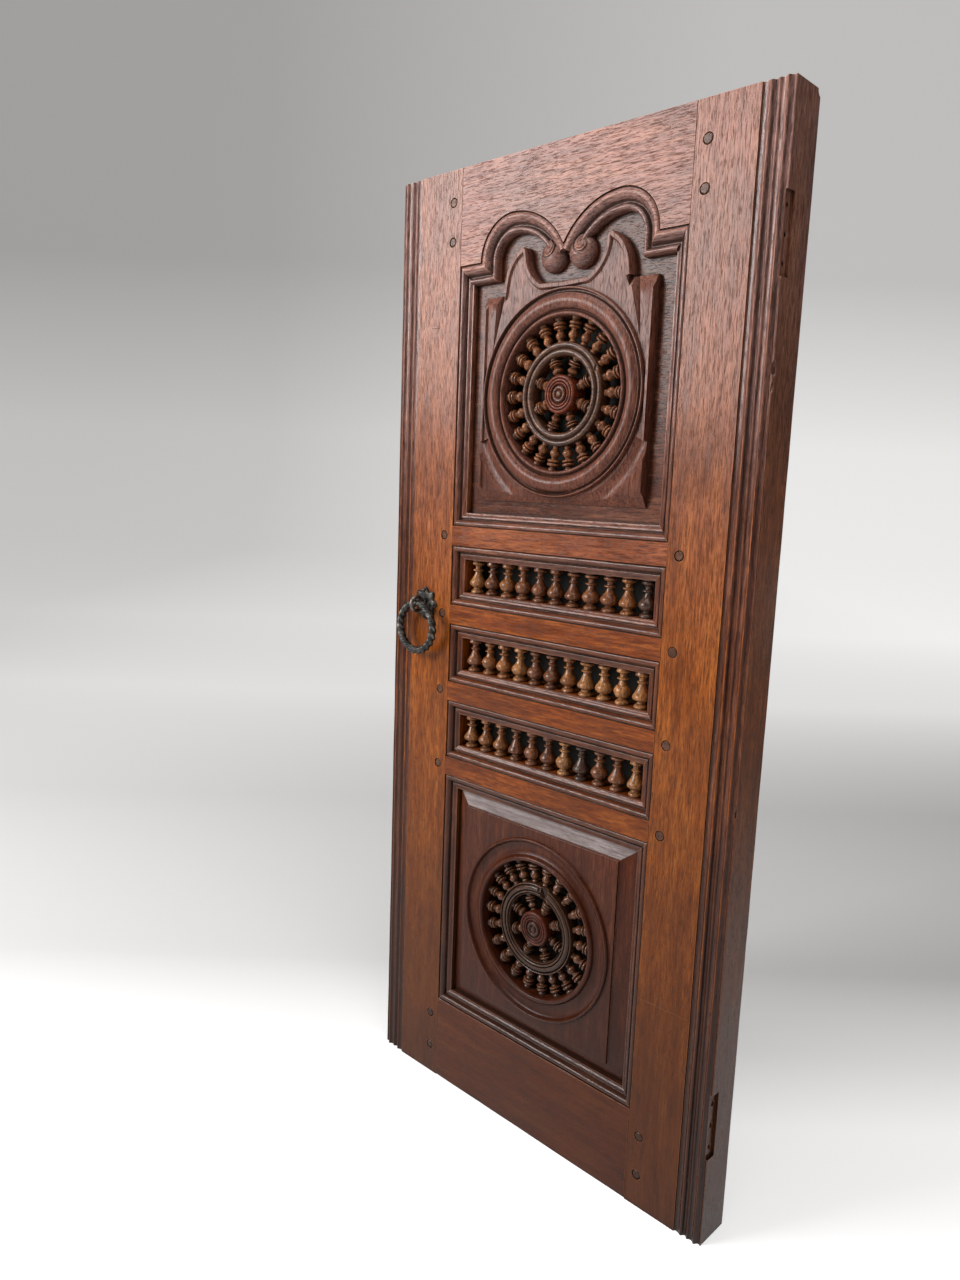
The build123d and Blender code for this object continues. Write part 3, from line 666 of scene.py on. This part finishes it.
def make_rails():
    inside = (inner_x[-1], inner_x[1])
    for k, (name, line) in enumerate(zip(rail_names, rail_lines)):
        face = weather(rail_front(line, line + rail_face), 0.22, k + 5.0)
        if name == "lower_panel_rail":
            face = carve(face, scratch((118, 423), (121, 445.5), 0.7, 0.8))
        behind = block(inside, (shoulder_depth, rebate_depth),
                       (line - moulding_width, line + rail_face + moulding_width))
        piece(f"moulded_{name}", together(face, behind), rail_wood, [name],
              worked=shaded_worn_rail)
    face = weather(rail_front(0.0, bottom_face, low_moulding=False), 0.25, 11.0)
    top = bottom_face + moulding_width
    section = [(0, shoulder_depth), (top, shoulder_depth), (top, rebate_depth), (board_foot, rebate_depth),
               (board_foot, thickness), (0, thickness)]
    behind = closed_bar(section, (inside[0], 0, 0), (0, 0, 1), (inside[1] - inside[0], 0, 0))
    piece("moulded_bottom_rail", together(face, behind), rail_wood, ["bottom_rail"],
          worked=shaded_worn_rail)


def arch_edge(offset):
    """Half the arch's line from the stile to the middle, offset into the opening."""
    steps = 16
    haunch = arc(haunch_centre, haunch_radius - offset, 180, 90, steps)
    crown = arc(crown_centre, crown_radius - offset, 90, 90 - crown_sweep, steps)
    return [(haunch[0][0], impost_top - offset)] + haunch[1:] + crown[1:]


def arch_moulding():
    """The left half's swan-neck moulding: a short run up from the impost, then two bends."""
    bm = bmesh.new()
    foot_x = haunch_centre[0] - haunch_radius
    section = arch_line + [(arch_width, shoulder_depth + 1), (0, shoulder_depth + 1)]
    corners = [bm.verts.new((foot_x + u, front + d, impost_foot)) for u, d in section]
    last = [bm.faces.new(corners)]
    grown = bmesh.ops.extrude_face_region(bm, geom=last + bm.edges[:] + corners, use_keep_orig=True)
    bmesh.ops.translate(bm, verts=pick(grown["geom"], BMVert), vec=(0, 0, impost_top - impost_foot))
    last = pick(grown["geom"], BMFace)
    for centre, sweep, steps in ((haunch_centre, 90, 20), (crown_centre, crown_sweep + 4, 22)):
        bend = bmesh.ops.spin(bm, geom=last, cent=(centre[0], 0, centre[1]), axis=(0, 1, 0),
                              angle=radians(sweep), steps=steps, use_duplicate=False)
        last = pick(bend["geom_last"], BMFace)
    slice_off(bm, (foot_x, 0, impost_top), Vector((-1, 0, -1)))
    cuts = [mitre(foot_x, impost_top, 1, 1), mitre(joint_x[-1], impost_top, -arch_width, -moulding_width)]
    impost = closed_bar([(impost_top - u, d) for u, d in section], (joint_x[-1], 0, 0), (0, 0, 1),
                        (foot_x + arch_width - joint_x[-1], 0, 0), cuts)
    return together(bm, impost)


def scroll():
    """The left scroll: a ball at the end of the moulding, with the fillet curled in above it."""
    x, z = centre_x - 19.5, 1036.5
    radius = 17.4
    dome = smooth_line([(0, 0.2), (5.0, 0.6), (9.8, 2.0), (14.0, 4.8), (16.6, 8.4), (radius, 12.0)], 3)
    ball = turned_ring(dome + [(radius, 16.0), (0, 16.0)], (x, z), 40, closed=False)
    eye = (x - 4.0, z + 6.0)

    def curl(first, last, sweep, start_radius, end_radius, sunk):
        """A strand wound inwards over the ball's face, between two reaches from its eye."""
        points = []
        radii = []
        for k in range(30):
            t = k / 29
            turn = radians(88 - sweep * t)
            reach = first + (last - first) * t ** 0.85
            place = Vector((eye[0] + reach * cos(turn), eye[1] + reach * sin(turn)))
            away = min((place - Vector((x, z))).length / radius, 0.97)
            points.append((place.x, front + 0.2 + 12 * (1 - sqrt(1 - away * away)) + sunk, place.y))
            radii.append(start_radius + (end_radius - start_radius) * t)
        return tube(points, radii)

    ball = carve(ball, curl(13.2, 3.2, 400, 1.7, 1.0, 0.0))
    return together(ball, curl(8.8, 0.8, 330, 2.4, 1.3, 0.9))


def make_top_rail():
    left_end, right_end = joint_x[-1] + joint_play, joint_x[1] - joint_play
    left_edge = [(left_end, impost_top)] + arch_edge(0)
    outline = left_edge + other_half(left_edge) + [(right_end, leaf_top), (left_end, leaf_top)]
    face = carve(board([outline], 0.0, shoulder_depth + 1),
                 scratch((-150, 1070.5), (-118, 1072.5), 0.8, 1.0),
                 scratch((-118, 1072.5), (-92, 1070.8), 0.6, 0.8))
    left_edge = [(inner_x[-1], impost_foot)] + arch_edge(arch_width)
    left_edge = [point for point in left_edge if point[0] < centre_x]
    outline = left_edge + other_half(left_edge) + [(inner_x[1], board_top), (inner_x[-1], board_top)]
    behind = board([outline], shoulder_depth, rebate_depth)
    cap = block((inner_x[-1], inner_x[1]), (shoulder_depth, thickness), (board_top, leaf_top))
    moulding = arch_moulding()
    curl = scroll()
    shapes = (face, behind, cap, moulding, curl, mirrored(moulding), mirrored(curl))
    piece("arched_top_rail", together(*shapes), rail_wood, ["top_rail"], worked=shaded_worn_rail)


# Panels: each ring's section holds radii and depths
upper_ring_line = smooth_line([
    (112.3, 5.2), (111.9, 2.6), (110.8, 0.9), (109.6, 1.6), (108.8, 5.2), (107.8, 6.4), (106.4, 4.6),
    (104.6, 2.4), (101.6, 0.6), (98.0, -0.3), (94.6, 0.2), (91.8, 1.8), (90.2, 3.8), (89.2, 5.8),
    (88.3, 6.0), (87.2, 4.2), (86.0, 2.7), (84.6, 2.4), (83.4, 3.4), (82.8, 5.2)], 2)
lower_ring_line = smooth_line([
    (112.3, 5.2), (111.9, 3.0), (110.9, 0.9), (109.5, 0.3), (108.1, 1.0), (107.2, 3.4), (106.2, 5.4),
    (104.0, 6.6), (101.0, 7.6), (98.0, 7.9), (94.6, 7.3), (91.6, 6.2), (90.2, 5.2), (89.4, 3.0),
    (88.2, 1.4), (86.4, 0.7), (84.6, 1.2), (83.4, 3.0), (82.8, 5.2)], 2)


def backed(line, depth):
    """A section closed by a flat back at a depth."""
    return line + [(line[-1][0], depth), (line[0][0], depth)]


def framed_steps(bm, edges, middle, steps):
    """A rectangle's edge carried outwards: each step is half its width, half its height and its depth."""
    for half_x, half_z, depth in steps:
        edges = edges_out(bm, edges)
        for v in corners_of(edges):
            x = half_x if v.co.x > middle[0] else -half_x
            z = half_z if v.co.z > middle[1] else -half_z
            v.co = (middle[0] + x, front + depth, middle[1] + z)
    return edges


def make_lower_panel():
    centre = (centre_x, wheel_heights["lower"])
    middle = (centre_x, 266.5)
    bm = bmesh.new()
    corners = [(middle[0] + x, middle[1] + z)
               for x, z in ((-115.5, -121.0), (115.5, -121.0), (115.5, 121.0), (-115.5, 121.0))]
    outer = loop_edges(bm, corners, 4.0)
    hole = loop_edges(bm, circle(centre, 111.0), 4.0)
    bmesh.ops.triangle_fill(bm, use_beauty=True, edges=outer + hole)
    outer = framed_steps(bm, outer, middle, [
        (116.3, 121.8, 4.5), (116.6, 122.1, 6.6), (117.4, 122.9, 7.0), (138.3, 138.8, 14.2),
        (140.5, 145.0, panel_edge), (147.0, 148.4, panel_edge), (147.0, 148.4, panel_back)])
    hole = edges_out(bm, hole)
    for v in corners_of(hole):
        v.co.y = front + panel_back
    bmesh.ops.triangle_fill(bm, use_beauty=True, edges=outer + hole)
    weather(bm, 0.15, 21.0, spacing=400)
    ring = turned_ring(backed(lower_ring_line, panel_back), centre, 128)
    # The top bevel's faces take the pale finish, a painted reflection.
    piece("fielded_lower_panel", together(bm, ring), panel_wood, ["lower_panel"],
          worked=painted_reflection_wood, depths=(7.2, 14.4), above=394.0)


field_foot = 771.5
field_shoulder = 1002.5


def field_outline():
    """The upper field: square shoulders, two horns and the hollows round the scrolls."""
    edge_x, neck_x = -113.0, -84.0
    half = [(centre_x, field_foot), (edge_x, field_foot), (edge_x, field_shoulder)]
    half += smooth_line([(neck_x, field_shoulder), (-82.5, 1014.0), (-79.0, 1028.0), (-70.0, 1042.0),
                         (-58.0, 1050.2), (-55.5, 1050.5)], 4)
    half += [(-51.8, 1049.0)] + arc((-10.5, 1045.5), 40.0, 186, 248.8, 14)[:-1]
    return half + [(centre_x, 1008.2)] + other_half(half[1:])


def make_upper_panel():
    centre = (centre_x, wheel_heights["upper"])
    plate = board([[(-143.9, 728.1), (151.9, 728.1), (151.9, 1015), (142.2, 1015), (142.2, 1079),
                    (-134.2, 1079), (-134.2, 1015), (-143.9, 1015)], circle(centre, 100.0)],
                  panel_edge, panel_back)
    field = bmesh.new()
    rims = loop_edges(field, field_outline(), 5.4) + loop_edges(field, circle(centre, 100.0), 5.4)
    bmesh.ops.triangle_fill(field, use_beauty=True, edges=rims)
    faces = field.faces[:]
    foot = edges_out(field, rims)
    bmesh.ops.translate(field, verts=corners_of(foot), vec=(0, 9.6, 0))
    bmesh.ops.triangle_fill(field, use_beauty=True, edges=foot)
    for inset, rise in ((1.7, -2.6), (3.6, 0.0), (2.2, 2.6)):
        bmesh.ops.inset_region(field, faces=faces, thickness=inset, use_even_offset=False,
                               use_boundary=True)
        bmesh.ops.translate(field, verts=corners_of(faces), vec=(0, rise, 0))
    cutters = []
    for side in (-1, 1):
        x = centre_x + side * 90.5
        notch = closed_bar([(-15, -3), (15, -3), (2.0 * side, 12.0)], (x, 0, 1004.0), (1, 0, 0),
                           (0, 0, -96.0))
        tip_x = centre_x + side * 107.5
        for v in notch.verts:
            if v.co.z < 950:
                v.co = (tip_x + 0.02 * (v.co.x - x), front + 2.0 + 0.02 * (v.co.y - front), 908.5)
        cutters.append(notch)
        start_x = centre_x + side * 101.5 - 17.0
        cutters.append(closed_bar([(-15.0, 2.4), (2.0, 11.0), (2.0, -5), (-15.0, -5)],
                                  (start_x, 0, field_shoulder), (0, 0, 1), (34.0, 0, 0)))
    cutters.append(closed_bar([(-17, 2.4), (2, 14.0), (2, -5), (-17, -5)], (centre_x - 120, 0, field_foot),
                              (0, 0, -1), (240, 0, 0)))
    scoop = bmesh.new()
    scoop_centre = (centre_x, front, 886.0)
    reach, radius = 122.0, 14.0
    rim = [scoop.verts.new((centre_x + reach + radius * cos(a), front - 5.0 + radius * sin(a), 886.0))
           for a in turns(14)]
    start = [scoop.faces.new(rim)]
    bmesh.ops.rotate(scoop, verts=rim, cent=scoop_centre, matrix=Matrix.Rotation(radians(22), 3, "Y"))
    bmesh.ops.spin(scoop, geom=start, cent=scoop_centre, axis=(0, 1, 0), angle=radians(136), steps=60,
                   use_duplicate=False)
    bmesh.ops.remove_doubles(scoop, verts=scoop.verts, dist=0.001)
    field = carve(field, scoop, *cutters)
    ring = turned_ring(backed(upper_ring_line, panel_back), centre, 128)
    piece("fielded_upper_panel", together(plate, field, ring), panel_wood, ["upper_panel"],
          worked=bevel_wood, depths=(14.0, 15.0))


# Wheels
wheel_lines = {
    "upper": smooth_line([
        (56.0, 9.0), (55.4, 7.2), (53.6, 6.1), (51.4, 6.2), (50.0, 7.6), (49.2, 9.0), (48.3, 8.0),
        (47.0, 6.4), (45.0, 6.0), (43.2, 6.6), (42.0, 8.2), (41.0, 10.2)], 2),
    "lower": smooth_line([
        (56.0, 9.0), (55.4, 6.8), (54.4, 6.8), (53.4, 9.2), (52.4, 6.9), (50.0, 5.6), (47.8, 6.0),
        (46.8, 9.0), (45.8, 6.4), (44.2, 6.6), (43.2, 9.0), (42.2, 7.4), (41.0, 10.0)], 2),
}
hub_line = [(0, 3.0)] + smooth_line([
    (0.6, 3.0), (2.6, 3.4), (3.6, 4.8), (4.4, 5.4), (5.2, 4.6), (6.2, 3.5), (7.8, 3.5), (8.8, 4.6),
    (9.6, 6.2), (10.4, 6.2), (11.2, 4.4), (12.2, 4.0), (13.0, 4.6), (13.4, 5.6), (13.9, 4.6),
    (14.6, 4.0), (16.0, 4.0), (16.6, 4.6), (17.0, 5.4), (17.5, 4.6), (18.2, 4.1), (19.4, 4.3),
    (20.6, 5.2), (21.0, 6.6)], 2)
spindle_rows = (("outer", 22, 55.6, 83.0, turned_woods[3]), ("inner", 8, 20.6, 41.6, turned_woods[1]))


def broken_places(name, height):
    """The cutters for the places where a wheel's middle ring is chipped or broken."""
    if name == "upper":
        x, z = centre_x + 54.5 * sin(radians(62)), height + 54.5 * cos(radians(62))
        return [chip((x, front + 6.0, z), (3.4, 2.4, 4.2), 6.0)]
    x, z = centre_x + 48.5 * cos(radians(76)), height + 48.5 * sin(radians(76))
    return [chip((x, front + 5.5, z), (6.2, 8.0, 10.5), 7.0),
            chip((x - 7.0, front + 6.0, z + 4.0), (3.0, 3.0, 3.0), 8.5)]


def make_wheels():
    chance = random.Random(7)
    for name, height in wheel_heights.items():
        centre = (centre_x, height)
        ring = turned_ring(backed(wheel_lines[name], 24.0), centre, 110)
        piece(f"turned_{name}_ring", carve(ring, *broken_places(name, height)), wheel_wood,
              [f"{name}_wheel_ring"])
        piece(f"turned_{name}_hub", turned_ring(backed(hub_line, 25.0), centre, 64, closed=False), hub_wood,
              [f"{name}_wheel_hub"], worked=wheel_wood, depths=(2.9, 3.95))
        for part, count, start, end, finish in spindle_rows:
            shapes = []
            for k in range(count):
                place = Matrix.Translation((centre_x, front + spindle_depth, height))
                place = place @ Matrix.Rotation(2 * pi * (k + 0.5) / count, 4, "Y")
                place = place @ Matrix.Translation((0, 0, start))
                shapes.append(turning(spindle_line(end - start, chance), place, 18))
            piece(f"turned_{name}_{part}_spindles", together(*shapes), finish,
                  [f"{name}_wheel_{part}_spindles"])


def spindle_line(length, chance):
    """A spindle's profile: a bulb, a neck and two discs, no two quite alike."""
    shift = chance.uniform(-0.02, 0.02)
    full = 7.5 * chance.uniform(0.94, 1.02)
    bulb = chance.uniform(0.74, 0.84)
    disc = chance.uniform(0.88, 1.0)
    shape = [(0.0, 0.5), (0.05, 0.54), (0.1, 0.42), (0.15, 0.5), (0.21, 0.85 * bulb), (0.3, bulb),
             (0.39, 0.85 * bulb), (0.46, 0.5), (0.51, 0.42), (0.555, 0.55), (0.58, 0.92 * disc),
             (0.62, disc), (0.66, 0.9 * disc), (0.685, 0.6), (0.71, 0.92 * disc), (0.76, 1.03 * disc),
             (0.81, 0.96 * disc), (0.84, 0.6), (0.88, 0.52), (0.93, 0.68), (1.0, 0.7)]
    line = smooth_line([(min(1.0, max(0.0, t + shift * sin(pi * t))) * length, r * full)
                        for t, r in shape], 2)
    return [(0, 0)] + line + [(length, 0)]


# Galleries
def baluster_line(chance):
    """A vase baluster's profile from its foot: no two are quite alike."""
    full = 10.4 * chance.uniform(0.94, 1.0)
    waist = chance.uniform(0.42, 0.5)
    belly = chance.uniform(0.31, 0.38)
    collar = chance.uniform(0.5, 0.62)
    cap = chance.uniform(0.66, 0.78)
    shape = [(0.0, 0.7), (0.04, 0.78), (0.09, 0.8), (0.13, 0.7), (0.16, 0.54), (0.19, waist),
             (0.215, 0.54), (0.24, 0.76), (belly - 0.04, 0.96), (belly, 1.0), (belly + 0.05, 0.94),
             (belly + 0.12, 0.74), (0.52, 0.56), (0.6, 0.42), (0.645, 0.38), (0.665, collar),
             (0.685, collar + 0.05), (0.705, collar), (0.72, 0.4), (0.76, 0.36), (0.8, 0.4), (0.825, 0.56),
             (0.845, cap), (0.875, cap + 0.03), (0.9, cap)]
    if chance.random() < 0.45:
        shape += [(0.915, 0.56), (0.935, cap), (0.97, cap + 0.02), (1.0, 0.7)]
    else:
        shape += [(0.93, 0.72), (0.97, 0.72), (1.0, 0.7)]
    line = smooth_line([(t * baluster_length - baluster_housing, r * full) for t, r in shape], 3)
    return [(-baluster_housing, 0)] + line + [(baluster_length - baluster_housing, 0)]


def make_galleries():
    chance = random.Random(31)
    for g in range(3):
        foot = rail_lines[g] + rail_face + moulding_width
        for k in range(11):
            place = Matrix.Translation((baluster_first + baluster_pitch * k, front + baluster_depth, foot))
            place = place @ Matrix.Rotation(radians(chance.uniform(-1.0, 1.0)), 4, "Y")
            name = f"gallery_{g + 1}_baluster_{k + 1:02d}"
            wood = turned_woods[chance.choice((0, 0, 0, 1, 2, 2, 3, 3, 4))]
            piece(f"turned_{name}", turning(baluster_line(chance), place, 32), wood, [name])


def make_pegs():
    chance = random.Random(5)
    shapes = []
    for place in peg_places:
        size = chance.uniform(5.0, 5.35)
        proud = chance.uniform(0.2, 0.7)
        line = [(0, -proud), (0.8 * size, 0.15 - proud), (0.97 * size, 0.9 - proud), (size, 2.0),
                (0.96 * size, 33), (0, 33)]
        peg = turned_ring(line, place, 9, closed=False)
        bmesh.ops.rotate(peg, verts=peg.verts, cent=(place[0], 0, place[1]),
                         matrix=Matrix.Rotation(chance.uniform(0, 1), 3, "Y"))
        shapes.append(weather(peg, 0.5, place[1], spacing=400))
    piece("draw_bore_pegs", together(*shapes), peg_wood, ["frame_pegs"])


# Ring pull
def rosette_place(turn, size):
    """A place on the rosette's outline of eight lobes, drawn in to a share of its size."""
    reach = (18.2 + 2.6 * cos(8 * turn) * size) * size
    return pull_x + reach * sin(turn), pull_z + reach * cos(turn)


def make_pull():
    plate = bmesh.new()
    edges = loop_edges(plate, [rosette_place(turn, 1.0) for turn in turns(96)], 0.0)
    bmesh.ops.contextual_create(plate, geom=edges)
    for size, depth in ((1.0, -1.8), (0.93, -3.0), (0.8, -3.6), (0.62, -3.2), (0.5, -3.8)):
        edges = edges_out(plate, edges)
        for v in corners_of(edges):
            x, z = rosette_place(atan2(v.co.x - pull_x, v.co.z - pull_z), size)
            v.co = (x, front + depth, z)
    bmesh.ops.contextual_create(plate, geom=edges)
    balls = []
    for turn, size in ((0.0, 2.6), (90.0, 2.6), (180.0, 2.2), (270.0, 3.4)):
        bm = bmesh.new()
        bmesh.ops.create_uvsphere(bm, u_segments=18, v_segments=12, radius=size)
        bmesh.ops.translate(bm, vec=(pull_x + 17.0 * sin(radians(turn)), front - 3.4,
                                     pull_z + 17.0 * cos(radians(turn))), verts=bm.verts)
        balls.append(bm)
    piece("lobed_rosette", together(plate, *balls), iron, ["pull_rosette"])

    eye = bmesh.new()
    section = [eye.verts.new((pull_x + 2.5 * cos(a), pull_y, pull_z + 8.95 + 2.4 * sin(a)))
               for a in turns(14)]
    spun(eye, section, (pull_x, pull_y, pull_z), (1, 0, 0), 40)
    spike = block((pull_x - 2.5, pull_x + 2.5), (-8.0, 30.0), (pull_z - 2.5, pull_z + 2.5))
    collar = block((pull_x - 5.0, pull_x + 5.0), (-6.5, -3.0), (pull_z - 5.0, pull_z + 5.0))
    bmesh.ops.bevel(collar, geom=collar.edges[:], offset=1.0, segments=2, profile=0.5, affect="EDGES",
                    material=-1)
    piece("forged_staple", together(eye, spike, collar), bright_iron, ["pull_staple"])

    ring = bmesh.new()
    centre = Vector((pull_x, pull_y, pull_z - pull_radius))
    section = []
    for a in turns(24):
        reach = 4.35 + 0.75 * cos(3 * a)
        section.append(ring.verts.new(centre + Vector((pull_radius + reach * cos(a), reach * sin(a), 0))))
    spun(ring, section, centre, (0, 1, 0), 200)
    for v in ring.verts:
        x, y, z = v.co - centre
        turn = atan2(x, z)
        reach = hypot(x, z) - pull_radius
        twist = 7 * turn
        out = pull_radius + reach * cos(twist) - y * sin(twist)
        v.co = centre + Vector((out * sin(turn), reach * sin(twist) + y * cos(twist), out * cos(turn)))
    piece("twisted_ring", ring, iron, ["pull_ring"], body="ring_pull", sharp=60)


make_stiles()
make_rails()
make_top_rail()
make_lower_panel()
make_upper_panel()
make_wheels()
make_galleries()
make_pegs()
make_pull()

# The back board is the one CAD node that is seen as it is
back_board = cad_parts["back_board"]
back_board.data.materials.clear()
back_board.data.materials.append(board_wood)


# Floor and backdrop in one sheet with a wide bend
def backdrop():
    bm = bmesh.new()
    side = 9.0
    wall = 5.0
    bend = 2.0
    bmesh.ops.create_grid(bm, x_segments=1, y_segments=1, size=side)
    far = [e for e in bm.edges if all(v.co.y > side - 0.1 for v in e.verts)]
    turned = bmesh.ops.spin(bm, geom=far, cent=(0, side, bend), axis=(1, 0, 0), angle=radians(90),
                            steps=24, use_duplicate=False)
    up = bmesh.ops.extrude_edge_only(bm, edges=pick(turned["geom_last"], BMEdge))
    bmesh.ops.translate(bm, verts=pick(up["geom"], BMVert), vec=(0, 0, wall))
    bmesh.ops.rotate(bm, verts=bm.verts, cent=(0, 0, 0), matrix=Matrix.Rotation(radians(44), 3, "Z"))
    mesh = bpy.data.meshes.new("backdrop")
    bm.to_mesh(mesh)
    bm.free()
    mesh.shade_smooth()
    sheet = bpy.data.objects.new("backdrop", mesh)
    scene.collection.objects.link(sheet)
    pale = Shader("backdrop_paper")
    seen = pale.add("ShaderNodeLightPath")
    eyes = pale.math("MAXIMUM", seen.outputs["Is Camera Ray"], seen.outputs["Is Glossy Ray"])
    eyes = pale.math("MAXIMUM", eyes, seen.outputs["Is Transmission Ray"])
    axes = pale.fill(pale.add("ShaderNodeSeparateXYZ"), Vector=pale.place)
    along, aside = 0.717, 0.697
    across = pale.math("ADD", pale.math("MULTIPLY", axes["X"], along),
                       pale.math("MULTIPLY", axes["Y"], aside))
    away = pale.math("SUBTRACT", pale.math("MULTIPLY", axes["Y"], along),
                     pale.math("MULTIPLY", axes["X"], aside))
    # The glow drops just behind the door: a painted shadow of the door on the floor.
    glow = pale.ramp(pale.math("MULTIPLY", away, 0.1, clamp=True), (0.0, 0.62), (0.04, 0.06), (0.12, 0.08),
                     (0.24, 0.46), (0.42, 0.6), (1.0, 0.58))
    # Painted shade: the backdrop dims upwards.
    painted_shade_upwards = pale.ramp(pale.height(0.0, 3.4), (0.0, 1.0), (0.4, 0.95), (1.0, 0.55))
    glow = pale.mix(1.0, glow, painted_shade_upwards, "MULTIPLY")
    # Painted light: the backdrop brightens towards the right.
    painted_light_rightwards = pale.ramp(pale.math("MULTIPLY_ADD", across, 0.11, 0.5, clamp=True), (0.2, 0.75), (0.8, 1.2))
    glow = pale.mix(1.0, glow, painted_light_rightwards, "MULTIPLY")
    pale.finish(Base_Color=(0.74, 0.74, 0.74, 1), Roughness=0.9, Emission_Color=glow,
                Emission_Strength=eyes)
    mesh.materials.append(pale.material)


backdrop()


# Light
def lamp(name, place, aim, size, power):
    data = bpy.data.lights.new(name, "AREA")
    data.energy = power
    data.shape = "RECTANGLE"
    data.size, data.size_y = size
    light = bpy.data.objects.new(name, data)
    light.location = place
    light.rotation_euler = (Vector(aim) - Vector(place)).to_track_quat("-Z", "Y").to_euler()
    scene.collection.objects.link(light)


lamp("window_light", (-1.75, -2.35, 1.75), (0.05, 0, 0.8), (1.7, 1.4), 112)
lamp("overhead_light", (0.1, -0.5, 2.2), (0.05, -0.1, 0.5), (1.4, 0.7), 14)
lamp("room_light", (2.0, -1.2, 1.5), (0.2, 0, 0.6), (1.4, 1.4), 4)
world = bpy.data.worlds.new("soft_room")
world.use_nodes = True
background = world.node_tree.nodes["Background"]
background.inputs["Color"].default_value = (0.86, 0.81, 0.76, 1)
background.inputs["Strength"].default_value = 0.18
scene.world = world

# Camera: where the photograph was taken from
camera_data = bpy.data.cameras.new("camera")
camera_data.sensor_fit = "VERTICAL"
camera_data.sensor_height = 36.0
camera_data.lens = 26.51
camera = bpy.data.objects.new("camera", camera_data)
camera.location = (0.6836, -0.8376, 0.7900)
camera.rotation_euler = (radians(80.609), radians(-2.041), radians(44.196))
scene.collection.objects.link(camera)
scene.camera = camera
scene.view_settings.view_transform = "Standard"
